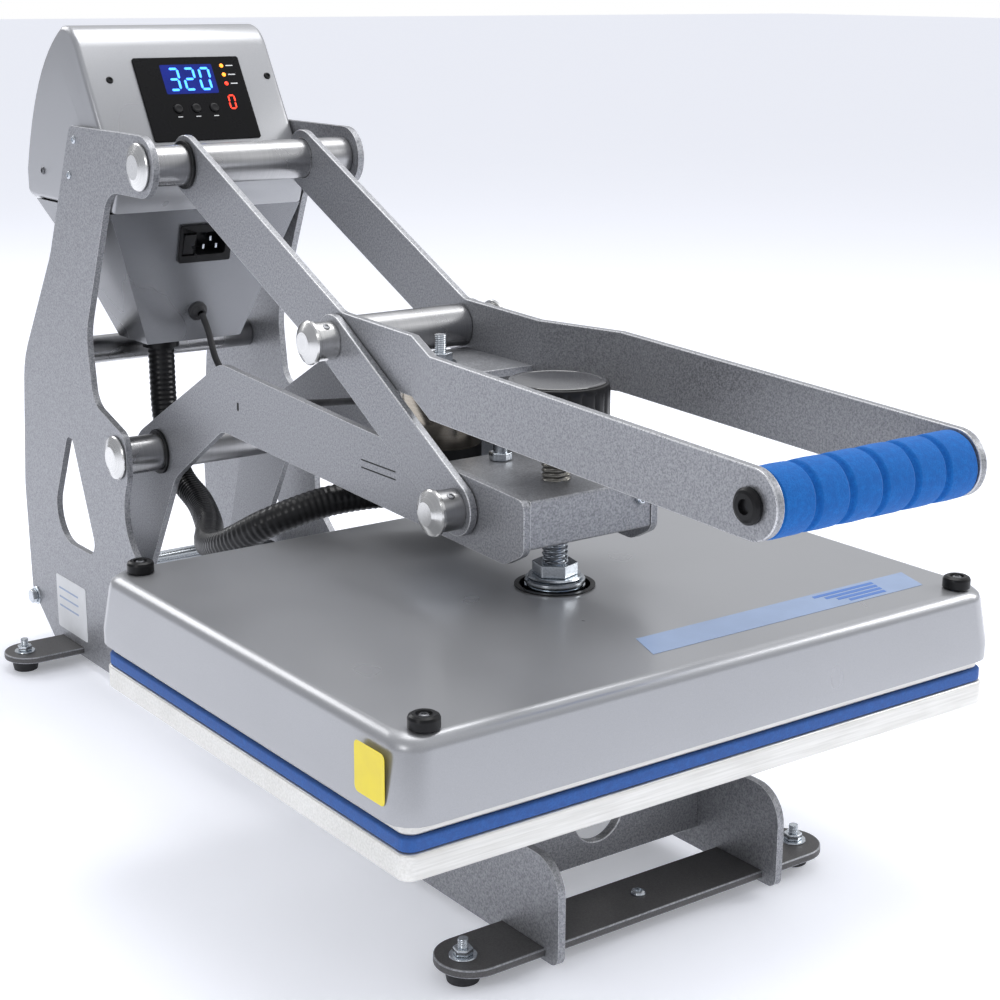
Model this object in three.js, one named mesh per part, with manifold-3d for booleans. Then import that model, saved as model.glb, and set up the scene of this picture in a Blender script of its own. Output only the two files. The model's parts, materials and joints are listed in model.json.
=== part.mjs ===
// Clamshell heat press with a fixed lower platen and a swinging heated upper platen.
// Units: millimetres. X runs left to right, Y from the operator to the rear, Z up from the floor.
import * as THREE from 'three';
import { mergeVertices } from 'three/addons/utils/BufferGeometryUtils.js';
import Module from 'manifold-3d';

const wasm = await Module();
wasm.setup();

// ---------------------------------------------------------------- driving sizes
const FIT = 0.3; // gap kept between two pieces that touch
const SHEET = 6; // thickness of the steel side plates, arms and links

// Lower platen, the 16 x 20 inch work surface
const PLATEN = { width: 508, depth: 406, thickness: 17.5, bottom: 133.5, corner: 9 };
const PAD = { thickness: 9.7, inset: 1 };

// Base
const FRAME_HALF = 102.5; // outer faces of the side plates
const FOOT_BAR = { width: 50, reach: 171, bottom: 12, thickness: 6, boltX: 152, frontY: -116, rearY: 617 };
const FOOT = { radius: 12.5, taper: 2 };
const BRACKET = { frontY: -70, rearY: 78 }; // front faces of the two brackets under the lower platen
const FRAME_FRONT = -155;
const FRAME_REAR = 714;
const FRAME_BOTTOM = 9;
const BASE_TOP = 84;

// Pivots, as [Y, Z]
const TOP_PIVOT = [424, 491];
const REAR_PIVOT = [496, 227];
const MID_PIVOT = [180, 378];
const FRONT_PIVOT = [16, 282];

const SHAFT = { radius: 17, neck: 10, capRadius: 20, capHeight: 6 };
const MID_SHAFT = { radius: 17, neck: 9 };
const FRONT_SHAFT = { radius: 11, capRadius: 17, capHeight: 8 };
const CROSS_TUBE = { radius: 13, wall: 2.5, at: [612, 304] };

// Moving side plates
const ARM_HALF = 60; // outer faces of the press arms and of the inner handle sections
const LAYER_GAP = 1; // air between neighbouring moving plates
const HANDLE_HALF = 87.5; // outer faces of the spread handle sections
const LINK_WIDTH = 40;
const LINK_BOSS = { radius: 15, length: 17 };

// Handle
const HANDLE = { linkWidth: 50, armWidth: 45, tipWidth: 43, bendRear: 80, bendFront: 16 };
const GRIP = { at: [-304, 359.5], radius: 21.3, grooves: 5, grooveDepth: 3, grooveWidth: 5 };
const GRIP_ROD = { radius: 9, headRadius: 11, headHeight: 5 };

// Electromagnet lock: the magnet stands on the press arms, and its strike disc hangs from the handle
const MAGNET = { y: 130, radius: 31 };
const MAGNET_SEAT = { front: 90, rear: 170, bottom: 283, thickness: 5.7 };
const STRIKE_CARRIER = { front: 84, rear: 174, bottom: 355, thickness: 6 };
const STRIKE = { radius: 28, thickness: 8, studRadius: 6, studTop: 376, nutRadius: 10, nutHeight: 7 };

// Head block, pressure screw and knob
const BLOCK = { front: -56, rear: 72, bottom: 266, top: 301 };
const SCREW = { y: -15, radius: 9.7, nutRadius: 17, nutHeight: 12 };
const KNOB = { radius: 38, bottom: 345, height: 27, rim: 3 };
const STOP_BOLT = { y: 52, radius: 5.5, height: 34, headRadius: 9, headHeight: 6 };

// Heated upper platen and its cover
const HEATER = { inset: 3, thickness: 24 };
const COVER = { overhang: 4.5, bottom: 169, top: 222, wall: 2.5, corner: 20, draft: 13, edge: 9, holeRadius: 28 };
const BUMPER = { radius: 10, height: 9, insetX: 23, insetFront: 14, insetRear: 20 };
const COLLAR = { radius: 22, above: 6 };

// Control head
const HEAD = { gap: 1, wall: 2.5, splitZ: 444, bottomHalf: 48, bottomZ: 318 };
const HEAD_FACE = { foot: [491, 478], top: [563, 600] }; // inclined front face, as [Y, Z]
const DISPLAY = { x: 6, width: 106, height: 82, thickness: 2, along: 29 };
const BUTTON = { radius: 4.4, proud: 1.6, length: 9, pitch: 18, along: 60, offset: -4 };
const BOARD = { width: 130, height: 70, thickness: 1.6, depth: 16 };
const INLET = { width: 52, height: 36, depth: 22, proud: 3, z: 412, rim: 3 };
const ROCKER = { width: 12, height: 22, depth: 9 };
const GROMMET = { radius: 9, proud: 7, z: 346, bore: 3.4 };

// Lift springs below the platen
const TAIL_BAR = { at: [570, 100], radius: 8, reach: 88 };
const ANCHOR_BAR = { at: [330, 52], radius: 8 };
const SPRING = { x: 76, coilRadius: 11, wire: 1.8, turns: 7 };

// Cords, routed by hand as [X, Y, Z]
const CONDUIT_RADIUS = 12.5;
const CONDUIT_ROUTE = [
  [-20, 566, 317],
  [-20, 566, 296],
  [-23, 556, 240],
  [-31, 516, 198],
  [-39, 462, 184],
  [-62, 400, 180],
  [-98, 330, 186],
  [-110, 274, 202],
  [-94, 234, 226],
  [-54, 214, 241],
  [-6, 198, 245],
  [36, 178, 243],
  [57, 165, 231],
  [59, 163, 214],
];
const CABLE_RADIUS = 3;
const CABLE_ROUTE = [
  [0, 519, 344],
  [0, 508, 330],
  [0, 494, 305],
  [0, 462, 286],
  [0, 400, 283],
  [0, 320, 296],
  [0, 240, 312],
  [0, 190, 319],
  [0, 161.6, 320],
];

const Y = 0;
const Z = 1;

// ---------------------------------------------------------------- materials
const paint = (color, roughness, metalness) => new THREE.MeshStandardMaterial({ color, roughness, metalness });
const MATERIALS = {
  hammertone: paint(0x9b9da3, 0.5, 0.55),
  satinSilver: paint(0xb3b5b9, 0.38, 0.5),
  turnedSteel: paint(0xb9babb, 0.28, 0.95),
  zinc: paint(0xb7c0c6, 0.32, 0.95),
  castAluminium: paint(0xd8d6cf, 0.45, 0.85),
  bluePad: paint(0x2f5aa8, 0.9, 0),
  blueFoam: paint(0x2f74c8, 0.95, 0),
  blackRubber: paint(0x16171a, 0.85, 0),
  blackPlastic: paint(0x141416, 0.45, 0),
  darkPanel: paint(0x0b0b0d, 0.2, 0),
  magnetSteel: paint(0x6a665e, 0.3, 0.95),
  springSteel: paint(0x54565a, 0.35, 0.95),
  circuitBoard: paint(0x1d5a34, 0.6, 0),
};

// ---------------------------------------------------------------- shape helpers
/** Points of an arc from one angle to another, end points included. */
function arcPoints(a, b, radius, from, to) {
  const step = radius < 6 ? Math.PI / 6 : Math.PI / 18;
  const count = Math.max(1, Math.ceil(Math.abs(to - from) / step - 1e-6));
  return Array.from({ length: count + 1 }, (_, i) => {
    const angle = from + ((to - from) * i) / count;
    return new THREE.Vector2(a + radius * Math.cos(angle), b + radius * Math.sin(angle));
  });
}

/** Closed outline through [a, b, radius] corners, each rounded by a tangent arc. */
function roundedOutline(corners) {
  const vertex = (index) => {
    const corner = corners.at(index % corners.length);
    return new THREE.Vector2(corner[0], corner[1]);
  };
  const points = corners.flatMap((corner, index) => {
    const radius = corner[2] ?? 0;
    const here = vertex(index);
    if (radius === 0) return [here];
    const back = vertex(index - 1).sub(here).normalize();
    const ahead = vertex(index + 1).sub(here).normalize();
    const halfAngle = Math.acos(THREE.MathUtils.clamp(back.dot(ahead), -1, 1)) / 2;
    const bisector = back.clone().add(ahead).normalize();
    const centre = here.clone().addScaledVector(bisector, radius / Math.sin(halfAngle));
    const reach = radius / Math.tan(halfAngle);
    const from = here.clone().addScaledVector(back, reach).sub(centre).angle();
    const sweep = (Math.PI - 2 * halfAngle) * (back.cross(ahead) > 0 ? -1 : 1);
    return arcPoints(centre.x, centre.y, radius, from, from + sweep);
  });
  return new THREE.Shape(points);
}

/** Outline of a bar between two pivots, with a full round at each end. */
function barOutline(from, to, width) {
  const across = Math.atan2(to[1] - from[1], to[0] - from[0]) + Math.PI / 2;
  const near = arcPoints(from[0], from[1], width / 2, across, across + Math.PI);
  const far = arcPoints(to[0], to[1], width / 2, across + Math.PI, across + 2 * Math.PI);
  return new THREE.Shape([...near, ...far]);
}

function rectangle(a0, b0, a1, b1, radius = 0) {
  return roundedOutline([[a0, b0, radius], [a1, b0, radius], [a1, b1, radius], [a0, b1, radius]]);
}

function circle(a, b, radius) {
  return new THREE.Shape(arcPoints(a, b, radius, 0, 2 * Math.PI).slice(1));
}

function drill(shape, centre, radius) {
  shape.holes.push(circle(centre[0], centre[1], radius));
  return shape;
}

/** Extrudes an outline along +Z and cuts its holes right through. */
function extrude(shape, depth) {
  const straight = (outline, length) => new THREE.ExtrudeGeometry(new THREE.Shape(outline.getPoints(6)), {
    depth: length,
    bevelEnabled: false,
  });
  const holes = shape.holes.map((hole) => straight(hole, depth + 2).translate(0, 0, -1));
  const body = straight(shape, depth);
  return holes.length > 0 ? cut(body, ...holes) : body;
}

/** Extrudes a [Y, Z] outline along X. */
function extrudeX(shape, x0, x1) {
  const turn = new THREE.Matrix4().set(0, 0, 1, x0, 1, 0, 0, 0, 0, 1, 0, 0, 0, 0, 0, 1);
  return extrude(shape, x1 - x0).applyMatrix4(turn);
}

/** Extrudes an [X, Z] outline along Y. */
function extrudeY(shape, y0, y1) {
  const turn = new THREE.Matrix4().set(1, 0, 0, 0, 0, 0, -1, y1, 0, 1, 0, 0, 0, 0, 0, 1);
  return extrude(shape, y1 - y0).applyMatrix4(turn);
}

/** Extrudes an [X, Y] outline along Z. */
function extrudeZ(shape, z0, z1) {
  return extrude(shape, z1 - z0).translate(0, 0, z0);
}

/** Turned solid from [radius, height] points, its axis along Z. */
function turned(profile, segments = 24) {
  const points = profile.map(([radius, height]) => new THREE.Vector2(radius, height));
  return new THREE.LatheGeometry(points, segments).rotateX(Math.PI / 2);
}

/** Turned solid with its axis along X. */
function turnedX(profile, segments = 24) {
  return turned(profile, segments).rotateY(Math.PI / 2);
}

/** Quarter-round stretch of a turned profile, from [r0, h0] to [r1, h1]. */
function roundEdge(r0, h0, r1, h1, steps = 3) {
  return Array.from({ length: steps + 1 }, (_, step) => {
    const angle = (step / steps) * (Math.PI / 2);
    return [r1 + (r0 - r1) * Math.cos(angle), h0 + (h1 - h0) * Math.sin(angle)];
  });
}

/** Sweeps a round section along a curve. */
function sweptRod(curve, radius, sides, steps) {
  const section = new THREE.Shape();
  section.absarc(0, 0, radius, 0, 2 * Math.PI, false);
  return new THREE.ExtrudeGeometry(section, { extrudePath: curve, steps, curveSegments: sides / 2 });
}

/** Closed solid through a stack of rings that all hold the same number of points. */
function loft(rings) {
  const count = rings[0].length;
  const positions = rings.flat().flatMap((p) => [p.x, p.y, p.z]);
  const indices = [];
  for (let ring = 0; ring < rings.length - 1; ring += 1) {
    for (let i = 0; i < count; i += 1) {
      const a = ring * count + i;
      const b = ring * count + ((i + 1) % count);
      indices.push(a, b, b + count, a, b + count, a + count);
    }
  }
  const lastRing = (rings.length - 1) * count;
  for (let i = 1; i < count - 1; i += 1) {
    indices.push(0, i + 1, i);
    indices.push(lastRing, lastRing + i, lastRing + i + 1);
  }
  const geometry = new THREE.BufferGeometry();
  geometry.setAttribute('position', new THREE.Float32BufferAttribute(positions, 3));
  geometry.setIndex(indices);
  return geometry;
}

/** Ring of a rounded rectangle at one height. */
function rectangleRing(halfX, halfY, corner, z, perCorner = 4) {
  const centres = [[1, 1], [-1, 1], [-1, -1], [1, -1]];
  return centres.flatMap(([sx, sy], quarter) =>
    Array.from({ length: perCorner + 1 }, (_, step) => {
      const angle = (quarter + step / perCorner) * (Math.PI / 2);
      const x = sx * (halfX - corner) + corner * Math.cos(angle);
      const y = sy * (halfY - corner) + corner * Math.sin(angle);
      return new THREE.Vector3(x, y, z);
    }),
  );
}

// ---------------------------------------------------------------- boolean helpers
function toSolid(geometry) {
  const plain = geometry.clone();
  plain.deleteAttribute('normal');
  plain.deleteAttribute('uv');
  const merged = mergeVertices(plain, 1e-4);
  return new wasm.Manifold(
    new wasm.Mesh({
      numProp: 3,
      vertProperties: Float32Array.from(merged.attributes.position.array),
      triVerts: Uint32Array.from(merged.index.array),
    }),
  );
}

function toGeometry(solid) {
  const { vertProperties, triVerts } = solid.getMesh();
  const geometry = new THREE.BufferGeometry();
  geometry.setAttribute('position', new THREE.Float32BufferAttribute(vertProperties, 3));
  geometry.setIndex(Array.from(triVerts));
  return geometry;
}

function cut(geometry, ...tools) {
  return toGeometry(tools.reduce((solid, tool) => solid.subtract(toSolid(tool)), toSolid(geometry)));
}

function join(...geometries) {
  return toGeometry(geometries.map(toSolid).reduce((solid, next) => solid.add(next)));
}

function common(first, second) {
  return toGeometry(toSolid(first).intersect(toSolid(second)));
}

// ---------------------------------------------------------------- scene helpers
function piece(parent, name, geometry, material, position = [0, 0, 0]) {
  const mesh = new THREE.Mesh(geometry, material.clone());
  mesh.name = name;
  mesh.position.set(...position);
  parent.add(mesh);
  return mesh;
}

const SIDES = [['left', -1], ['right', 1]];

/** Start and end, low first, of a layer whose outer face is at outer on one side. */
function layer(side, outer, thickness = SHEET) {
  return side < 0 ? [-outer, thickness - outer] : [outer - thickness, outer];
}

const PAD_TOP = PLATEN.bottom + PLATEN.thickness + FIT + PAD.thickness;
const HEATER_BOTTOM = PAD_TOP + FIT;
const HEATER_TOP = HEATER_BOTTOM + HEATER.thickness;
const FRAME_INNER = FRAME_HALF - SHEET;
const HEAD_HALF = FRAME_INNER - HEAD.gap;
const ARM_INNER = ARM_HALF - SHEET;

// ---------------------------------------------------------------- frame
function framePlateOutline() {
  const [topY, topZ] = TOP_PIVOT;
  const [rearY, rearZ] = REAR_PIVOT;
  const nose = SHAFT.capRadius + 6;
  return roundedOutline([
    [FRAME_FRONT, FRAME_BOTTOM, 8],
    [FRAME_FRONT, BASE_TOP, 26],
    [rearY - 96, BASE_TOP, 70],
    [rearY + 3, rearZ - 60, 50],
    [rearY - SHAFT.capRadius, rearZ - 18, 16],
    [rearY - SHAFT.capRadius, rearZ + 22, 18],
    [rearY + 44, rearZ + 42, 22],
    [rearY + 53, rearZ + 104, 60],
    [topY + 66, topZ - nose, 30],
    [topY - nose, topZ - nose, nose - 0.5],
    [topY - nose, topZ + nose, nose - 0.5],
    [topY + 138, topZ + nose, 10],
    [topY + 196, topZ - 96, 60],
    [FRAME_REAR - 16, rearZ + 58, 80],
    [FRAME_REAR, rearZ - 70, 60],
    [FRAME_REAR - 4, FRAME_BOTTOM + 38, 14],
    [FRAME_REAR - 54, FRAME_BOTTOM, 14],
  ]);
}

function footSlot(centreY) {
  const half = FOOT_BAR.width / 2 + FIT;
  const top = FOOT_BAR.bottom + FOOT_BAR.thickness + FIT;
  return rectangle(centreY - half, FOOT_BAR.bottom - FIT, centreY + half, top);
}

function teardrop() {
  const [rearY, rearZ] = REAR_PIVOT;
  return roundedOutline([
    [rearY + 102, rearZ + 12, 9],
    [rearY + 52, rearZ - 108, 13],
    [rearY + 160, rearZ - 108, 32],
  ]);
}

function framePlate(side) {
  const shape = framePlateOutline();
  drill(shape, TOP_PIVOT, SHAFT.neck + FIT);
  drill(shape, REAR_PIVOT, SHAFT.neck + FIT);
  shape.holes.push(footSlot(FOOT_BAR.frontY), footSlot(FOOT_BAR.rearY), teardrop());
  return extrudeX(shape, ...layer(side, FRAME_HALF));
}

function footBar() {
  const tip = FOOT_BAR.width / 2 - 0.2;
  const halfWidth = FOOT_BAR.width / 2;
  const shape = rectangle(-FOOT_BAR.reach, -halfWidth, FOOT_BAR.reach, halfWidth, tip);
  return extrudeZ(shape, 0, FOOT_BAR.thickness);
}

function rubberFoot() {
  const height = FOOT_BAR.bottom - FIT;
  const base = FOOT.radius - FOOT.taper;
  return turned([[0, 0], [base, 0], [FOOT.radius, FOOT.taper], [FOOT.radius, height], [0, height]], 20);
}

function shaftBody() {
  const half = FRAME_INNER - FIT;
  const end = FRAME_HALF + FIT;
  const { radius, neck } = SHAFT;
  return turnedX([[0, -end], [neck, -end], [neck, -half], [radius, -half], [radius, half], [neck, half], [neck, end], [0, end]]);
}

function shaftCap(side) {
  const { capRadius, capHeight } = SHAFT;
  const dome = roundEdge(capRadius, capHeight * 0.4, capRadius * 0.55, capHeight);
  const cap = turnedX([[0, 0], [capRadius, 0], ...dome, [0, capHeight]]);
  return side < 0 ? cap.rotateZ(Math.PI) : cap;
}

function tubeX(radius, wall, half) {
  const shape = drill(circle(0, 0, radius), [0, 0], radius - wall);
  return extrudeX(shape, -half, half);
}

function platenBracket() {
  const bottom = FOOT_BAR.bottom + FOOT_BAR.thickness + 8;
  const top = PLATEN.bottom - FIT;
  const wide = FRAME_INNER - FIT;
  const narrow = wide - 30;
  const shape = roundedOutline([[-wide, bottom], [wide, bottom], [wide, BASE_TOP], [narrow, top], [-narrow, top], [-wide, BASE_TOP]]);
  drill(shape, [0, (bottom + BASE_TOP) / 2 + 8], 22);
  return extrudeY(shape, 0, 8);
}

function buildFrame(root) {
  const frame = new THREE.Group();
  root.add(frame);
  for (const [name, side] of SIDES) {
    piece(frame, `frame_plate_${name}`, framePlate(side), MATERIALS.hammertone);
  }
  const barRows = [['front', FOOT_BAR.frontY], ['rear', FOOT_BAR.rearY]];
  for (const [row, y] of barRows) {
    piece(frame, `foot_bar_${row}`, footBar(), MATERIALS.hammertone, [0, y, FOOT_BAR.bottom]);
    for (const [name, side] of SIDES) {
      piece(frame, `rubber_foot_${row}_${name}`, rubberFoot(), MATERIALS.blackRubber, [side * FOOT_BAR.boltX, y, 0]);
    }
  }
  for (const [row, pivot] of [['top', TOP_PIVOT], ['rear', REAR_PIVOT]]) {
    piece(frame, `${row}_shaft`, shaftBody(), MATERIALS.turnedSteel, [0, pivot[Y], pivot[Z]]);
    for (const [name, side] of SIDES) {
      const x = side * (FRAME_HALF + 2 * FIT);
      piece(frame, `${row}_shaft_cap_${name}`, shaftCap(side), MATERIALS.turnedSteel, [x, pivot[Y], pivot[Z]]);
    }
  }
  const tubeAt = [0, CROSS_TUBE.at[Y], CROSS_TUBE.at[Z]];
  piece(frame, 'rear_cross_tube', tubeX(CROSS_TUBE.radius, CROSS_TUBE.wall, FRAME_INNER - FIT), MATERIALS.turnedSteel, tubeAt);
  const anchorAt = [0, ANCHOR_BAR.at[Y], ANCHOR_BAR.at[Z]];
  piece(frame, 'spring_anchor_bar', tubeX(ANCHOR_BAR.radius, 3, FRAME_INNER - FIT), MATERIALS.zinc, anchorAt);
  for (const [row, y] of [['front', BRACKET.frontY], ['rear', BRACKET.rearY]]) {
    piece(frame, `platen_bracket_${row}`, platenBracket(), MATERIALS.hammertone, [0, y, 0]);
  }
}

function buildLowerPlaten(root) {
  const { width, depth, thickness, bottom, corner } = PLATEN;
  const slab = (inset, height) => {
    const halfX = width / 2 - inset;
    const halfY = depth / 2 - inset;
    return extrudeZ(rectangle(-halfX, -halfY, halfX, halfY, corner), 0, height);
  };
  piece(root, 'lower_platen', slab(0, thickness), MATERIALS.castAluminium, [0, 0, bottom]);
  piece(root, 'platen_pad', slab(PAD.inset, PAD.thickness), MATERIALS.bluePad, [0, 0, bottom + thickness + FIT]);
}

// ---------------------------------------------------------------- press arm
function pressArmOutline() {
  const [rearY, rearZ] = REAR_PIVOT;
  const frontY = BLOCK.front - 1;
  return roundedOutline([
    [frontY, BLOCK.top + 1, 8],
    [MID_PIVOT[Y], BLOCK.top + 15, 300],
    [rearY - 122, rearZ + 101, 34],
    [rearY + 46, rearZ + 8, 34],
    [TAIL_BAR.at[Y] + 24, TAIL_BAR.at[Z] - 22, 20],
    [TAIL_BAR.at[Y] - 26, TAIL_BAR.at[Z] - 22, 20],
    [rearY - 29, rearZ - 19, 40],
    [rearY - 122, rearZ + 42, 26],
    [MID_PIVOT[Y], BLOCK.bottom - 4, 200],
    [frontY + 22, BLOCK.bottom - 14, 14],
    [frontY, BLOCK.bottom - 2, 10],
  ]);
}

function pressArm(side) {
  const shape = pressArmOutline();
  drill(shape, REAR_PIVOT, SHAFT.radius + FIT);
  drill(shape, FRONT_PIVOT, FRONT_SHAFT.radius + FIT);
  drill(shape, TAIL_BAR.at, TAIL_BAR.radius + FIT);
  return extrudeX(shape, ...layer(side, ARM_HALF));
}

function headBlock() {
  const half = ARM_INNER - FIT;
  const shape = rectangle(BLOCK.front, BLOCK.bottom, BLOCK.rear, BLOCK.top, 2);
  drill(shape, FRONT_PIVOT, FRONT_SHAFT.radius + FIT);
  const screwBore = extrudeZ(circle(0, SCREW.y, SCREW.radius + FIT), BLOCK.bottom - 5, BLOCK.top + 5);
  const boltBore = extrudeZ(circle(0, STOP_BOLT.y, STOP_BOLT.radius + FIT), BLOCK.bottom - 5, BLOCK.top + 5);
  return cut(extrudeX(shape, -half, half), screwBore, boltBore);
}

function frontPivotShaft() {
  const { radius, capRadius, capHeight } = FRONT_SHAFT;
  const face = ARM_HALF + LAYER_GAP + SHEET + LINK_BOSS.length + FIT;
  const dome = (side) => roundEdge(capRadius, face + capHeight * 0.55, capRadius * 0.7, face + capHeight, 3)
    .map(([r, h]) => [r, side * h]);
  const near = dome(-1).reverse();
  const profile = [[0, -face - capHeight], ...near, [capRadius, -face], [radius, -face]];
  profile.push([radius, face], [capRadius, face], ...dome(1), [0, face + capHeight]);
  return turnedX(profile);
}

function stopBolt() {
  const { radius, height, headRadius, headHeight } = STOP_BOLT;
  const under = -(BLOCK.top - BLOCK.bottom) / 2;
  return turned([[0, under], [radius, under], [radius, FIT], [headRadius, FIT], [headRadius, FIT + headHeight],
    [radius, FIT + headHeight], [radius, height], [0, height]], 20);
}

/** Magnet shell that fills the space between its seat and the strike disc. */
function electromagnet() {
  const bottom = MAGNET_SEAT.bottom + MAGNET_SEAT.thickness + FIT;
  const top = STRIKE_CARRIER.bottom - FIT - STRIKE.thickness - FIT;
  return turned([[0, bottom], [MAGNET.radius - 1, bottom], [MAGNET.radius, bottom + 1], [MAGNET.radius, top - 2],
    [MAGNET.radius - 2, top], [0, top]]);
}

function buildPressArm(root) {
  const arm = new THREE.Group();
  root.add(arm);
  for (const [name, side] of SIDES) piece(arm, `press_arm_${name}`, pressArm(side), MATERIALS.hammertone);
  piece(arm, 'head_block', headBlock(), MATERIALS.hammertone);
  piece(arm, 'front_pivot_shaft', frontPivotShaft(), MATERIALS.turnedSteel, [0, FRONT_PIVOT[Y], FRONT_PIVOT[Z]]);
  const half = ARM_INNER - FIT;
  const seat = extrudeZ(rectangle(-half, MAGNET_SEAT.front, half, MAGNET_SEAT.rear), 0, MAGNET_SEAT.thickness);
  piece(arm, 'magnet_seat', seat, MATERIALS.zinc, [0, 0, MAGNET_SEAT.bottom]);
  piece(arm, 'electromagnet', electromagnet(), MATERIALS.magnetSteel, [0, MAGNET.y, 0]);
  piece(arm, 'stop_bolt', stopBolt(), MATERIALS.zinc, [0, STOP_BOLT.y, BLOCK.top]);
  const tailAt = [0, TAIL_BAR.at[Y], TAIL_BAR.at[Z]];
  piece(arm, 'tail_bar', tubeX(TAIL_BAR.radius, 3, TAIL_BAR.reach), MATERIALS.zinc, tailAt);
}

// ---------------------------------------------------------------- heated platen
function coverBody(shrink) {
  const { overhang, bottom, top, corner, draft, edge } = COVER;
  const halfX = PLATEN.width / 2 + overhang - shrink;
  const halfY = PLATEN.depth / 2 + overhang - shrink;
  const floor = shrink > 0 ? bottom - 1 : bottom;
  const roof = top - shrink;
  const shoulder = roof - edge;
  const rings = [rectangleRing(halfX, halfY, corner, floor), rectangleRing(halfX, halfY, corner, bottom + 12)];
  for (let step = 0; step <= 3; step += 1) {
    const angle = (step / 3) * (Math.PI / 2);
    const inset = draft - edge * Math.cos(angle);
    rings.push(rectangleRing(halfX - inset, halfY - inset, corner, shoulder + edge * Math.sin(angle)));
  }
  return loft(rings);
}

function platenCover() {
  const tall = [HEATER_TOP, COVER.top + 5];
  const [inletX, inletY] = CONDUIT_ROUTE.at(-1);
  const swivelHole = extrudeZ(circle(0, SCREW.y, COVER.holeRadius), ...tall);
  const conduitHole = extrudeZ(circle(inletX, inletY, CONDUIT_RADIUS + 2.5), ...tall);
  return cut(coverBody(0), coverBody(COVER.wall), swivelHole, conduitHole);
}

function buildHeatHead(root) {
  const head = new THREE.Group();
  root.add(head);
  const halfX = PLATEN.width / 2 - HEATER.inset;
  const halfY = PLATEN.depth / 2 - HEATER.inset;
  const slab = extrudeZ(rectangle(-halfX, -halfY, halfX, halfY, PLATEN.corner), 0, HEATER.thickness);
  piece(head, 'heat_platen', slab, MATERIALS.castAluminium, [0, 0, HEATER_BOTTOM]);
  piece(head, 'platen_cover', platenCover(), MATERIALS.satinSilver);
  const collarHeight = COVER.top + COLLAR.above - HEATER_TOP - FIT;
  const collar = turned([[0, 0], [COLLAR.radius, 0], [COLLAR.radius, collarHeight], [0, collarHeight]]);
  piece(head, 'swivel_collar', collar, MATERIALS.zinc, [0, SCREW.y, HEATER_TOP + FIT]);
  const { radius, height, insetX, insetFront, insetRear } = BUMPER;
  const bumper = () => turned([[0, 0], [radius, 0], ...roundEdge(radius, height - 2, radius - 2, height), [0, height]], 16);
  for (const [row, y] of [['front', insetFront - PLATEN.depth / 2], ['rear', PLATEN.depth / 2 - insetRear]]) {
    for (const [name, side] of SIDES) {
      const x = side * (PLATEN.width / 2 - insetX);
      piece(head, `cover_bumper_${row}_${name}`, bumper(), MATERIALS.blackPlastic, [x, y, COVER.top + FIT]);
    }
  }
}

function pressureScrew() {
  const { radius, nutRadius, nutHeight } = SCREW;
  const bottom = COVER.top + COLLAR.above + FIT;
  const length = KNOB.bottom - FIT - bottom;
  const hex = turned([[0, 0], [nutRadius, 0], [nutRadius, nutHeight], [0, nutHeight]], 6);
  return join(hex, turned([[0, 0], [radius, 0], [radius, length], [0, length]], 24));
}

function buildPressureScrew(root) {
  const bottom = COVER.top + COLLAR.above + FIT;
  piece(root, 'pressure_screw', pressureScrew(), MATERIALS.zinc, [0, SCREW.y, bottom]);
  const { radius, height, rim } = KNOB;
  const top = roundEdge(radius, height - rim, radius - rim, height, 3);
  const knob = turned([[0, 0], [radius - rim, 0], [radius, rim], ...top, [0, height]], 32);
  piece(root, 'pressure_knob', knob, MATERIALS.blackPlastic, [0, SCREW.y, KNOB.bottom]);
}

// ---------------------------------------------------------------- handle
function handleSideOutline() {
  const along = new THREE.Vector2(TOP_PIVOT[Y] - MID_PIVOT[Y], TOP_PIVOT[Z] - MID_PIVOT[Z]).normalize();
  const half = HANDLE.linkWidth / 2;
  const end = new THREE.Vector2(...TOP_PIVOT).addScaledVector(along, half);
  const across = new THREE.Vector2(-along.y, along.x).multiplyScalar(half);
  const elbowTop = MID_PIVOT[Z] + HANDLE.armWidth / 2 - 1;
  const elbowBottom = elbowTop - HANDLE.armWidth;
  const elbowY = MID_PIVOT[Y] - 4;
  const [gripY, gripZ] = GRIP.at;
  const tip = HANDLE.tipWidth / 2;
  return roundedOutline([
    [end.x + across.x, end.y + across.y, half - 0.2],
    [elbowY, elbowTop, 20],
    [gripY - tip, gripZ + tip, tip - 0.2],
    [gripY - tip, gripZ - tip, tip - 0.2],
    [elbowY + 16, elbowBottom, 50],
    [end.x - across.x, end.y - across.y, half - 0.2],
  ]);
}

/** Plan view of the bent bar: narrow at the rear, spread at the grip. */
function handlePlanOutline(side) {
  const rear = TOP_PIVOT[Y] + HANDLE.linkWidth;
  const front = GRIP.at[Y] - HANDLE.tipWidth;
  const { bendRear, bendFront } = HANDLE;
  const slant = Math.hypot(bendRear - bendFront, HANDLE_HALF - ARM_HALF);
  const shift = (SHEET * (slant - (bendRear - bendFront))) / (HANDLE_HALF - ARM_HALF);
  const corners = [
    [ARM_INNER, rear], [ARM_INNER, bendRear - shift], [HANDLE_HALF - SHEET, bendFront - shift],
    [HANDLE_HALF - SHEET, front], [HANDLE_HALF, front], [HANDLE_HALF, bendFront], [ARM_HALF, bendRear], [ARM_HALF, rear],
  ];
  return roundedOutline(corners.map(([x, y]) => [side * x, y]));
}

function handlePlate(side) {
  const outline = handleSideOutline();
  drill(outline, TOP_PIVOT, SHAFT.radius + FIT);
  drill(outline, MID_PIVOT, MID_SHAFT.neck + FIT);
  drill(outline, GRIP.at, GRIP_ROD.radius + FIT);
  const sideSolid = extrudeX(outline, -HANDLE_HALF - 10, HANDLE_HALF + 10);
  const planSolid = extrudeZ(handlePlanOutline(side), 250, 600);
  return common(sideSolid, planSolid);
}

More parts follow.
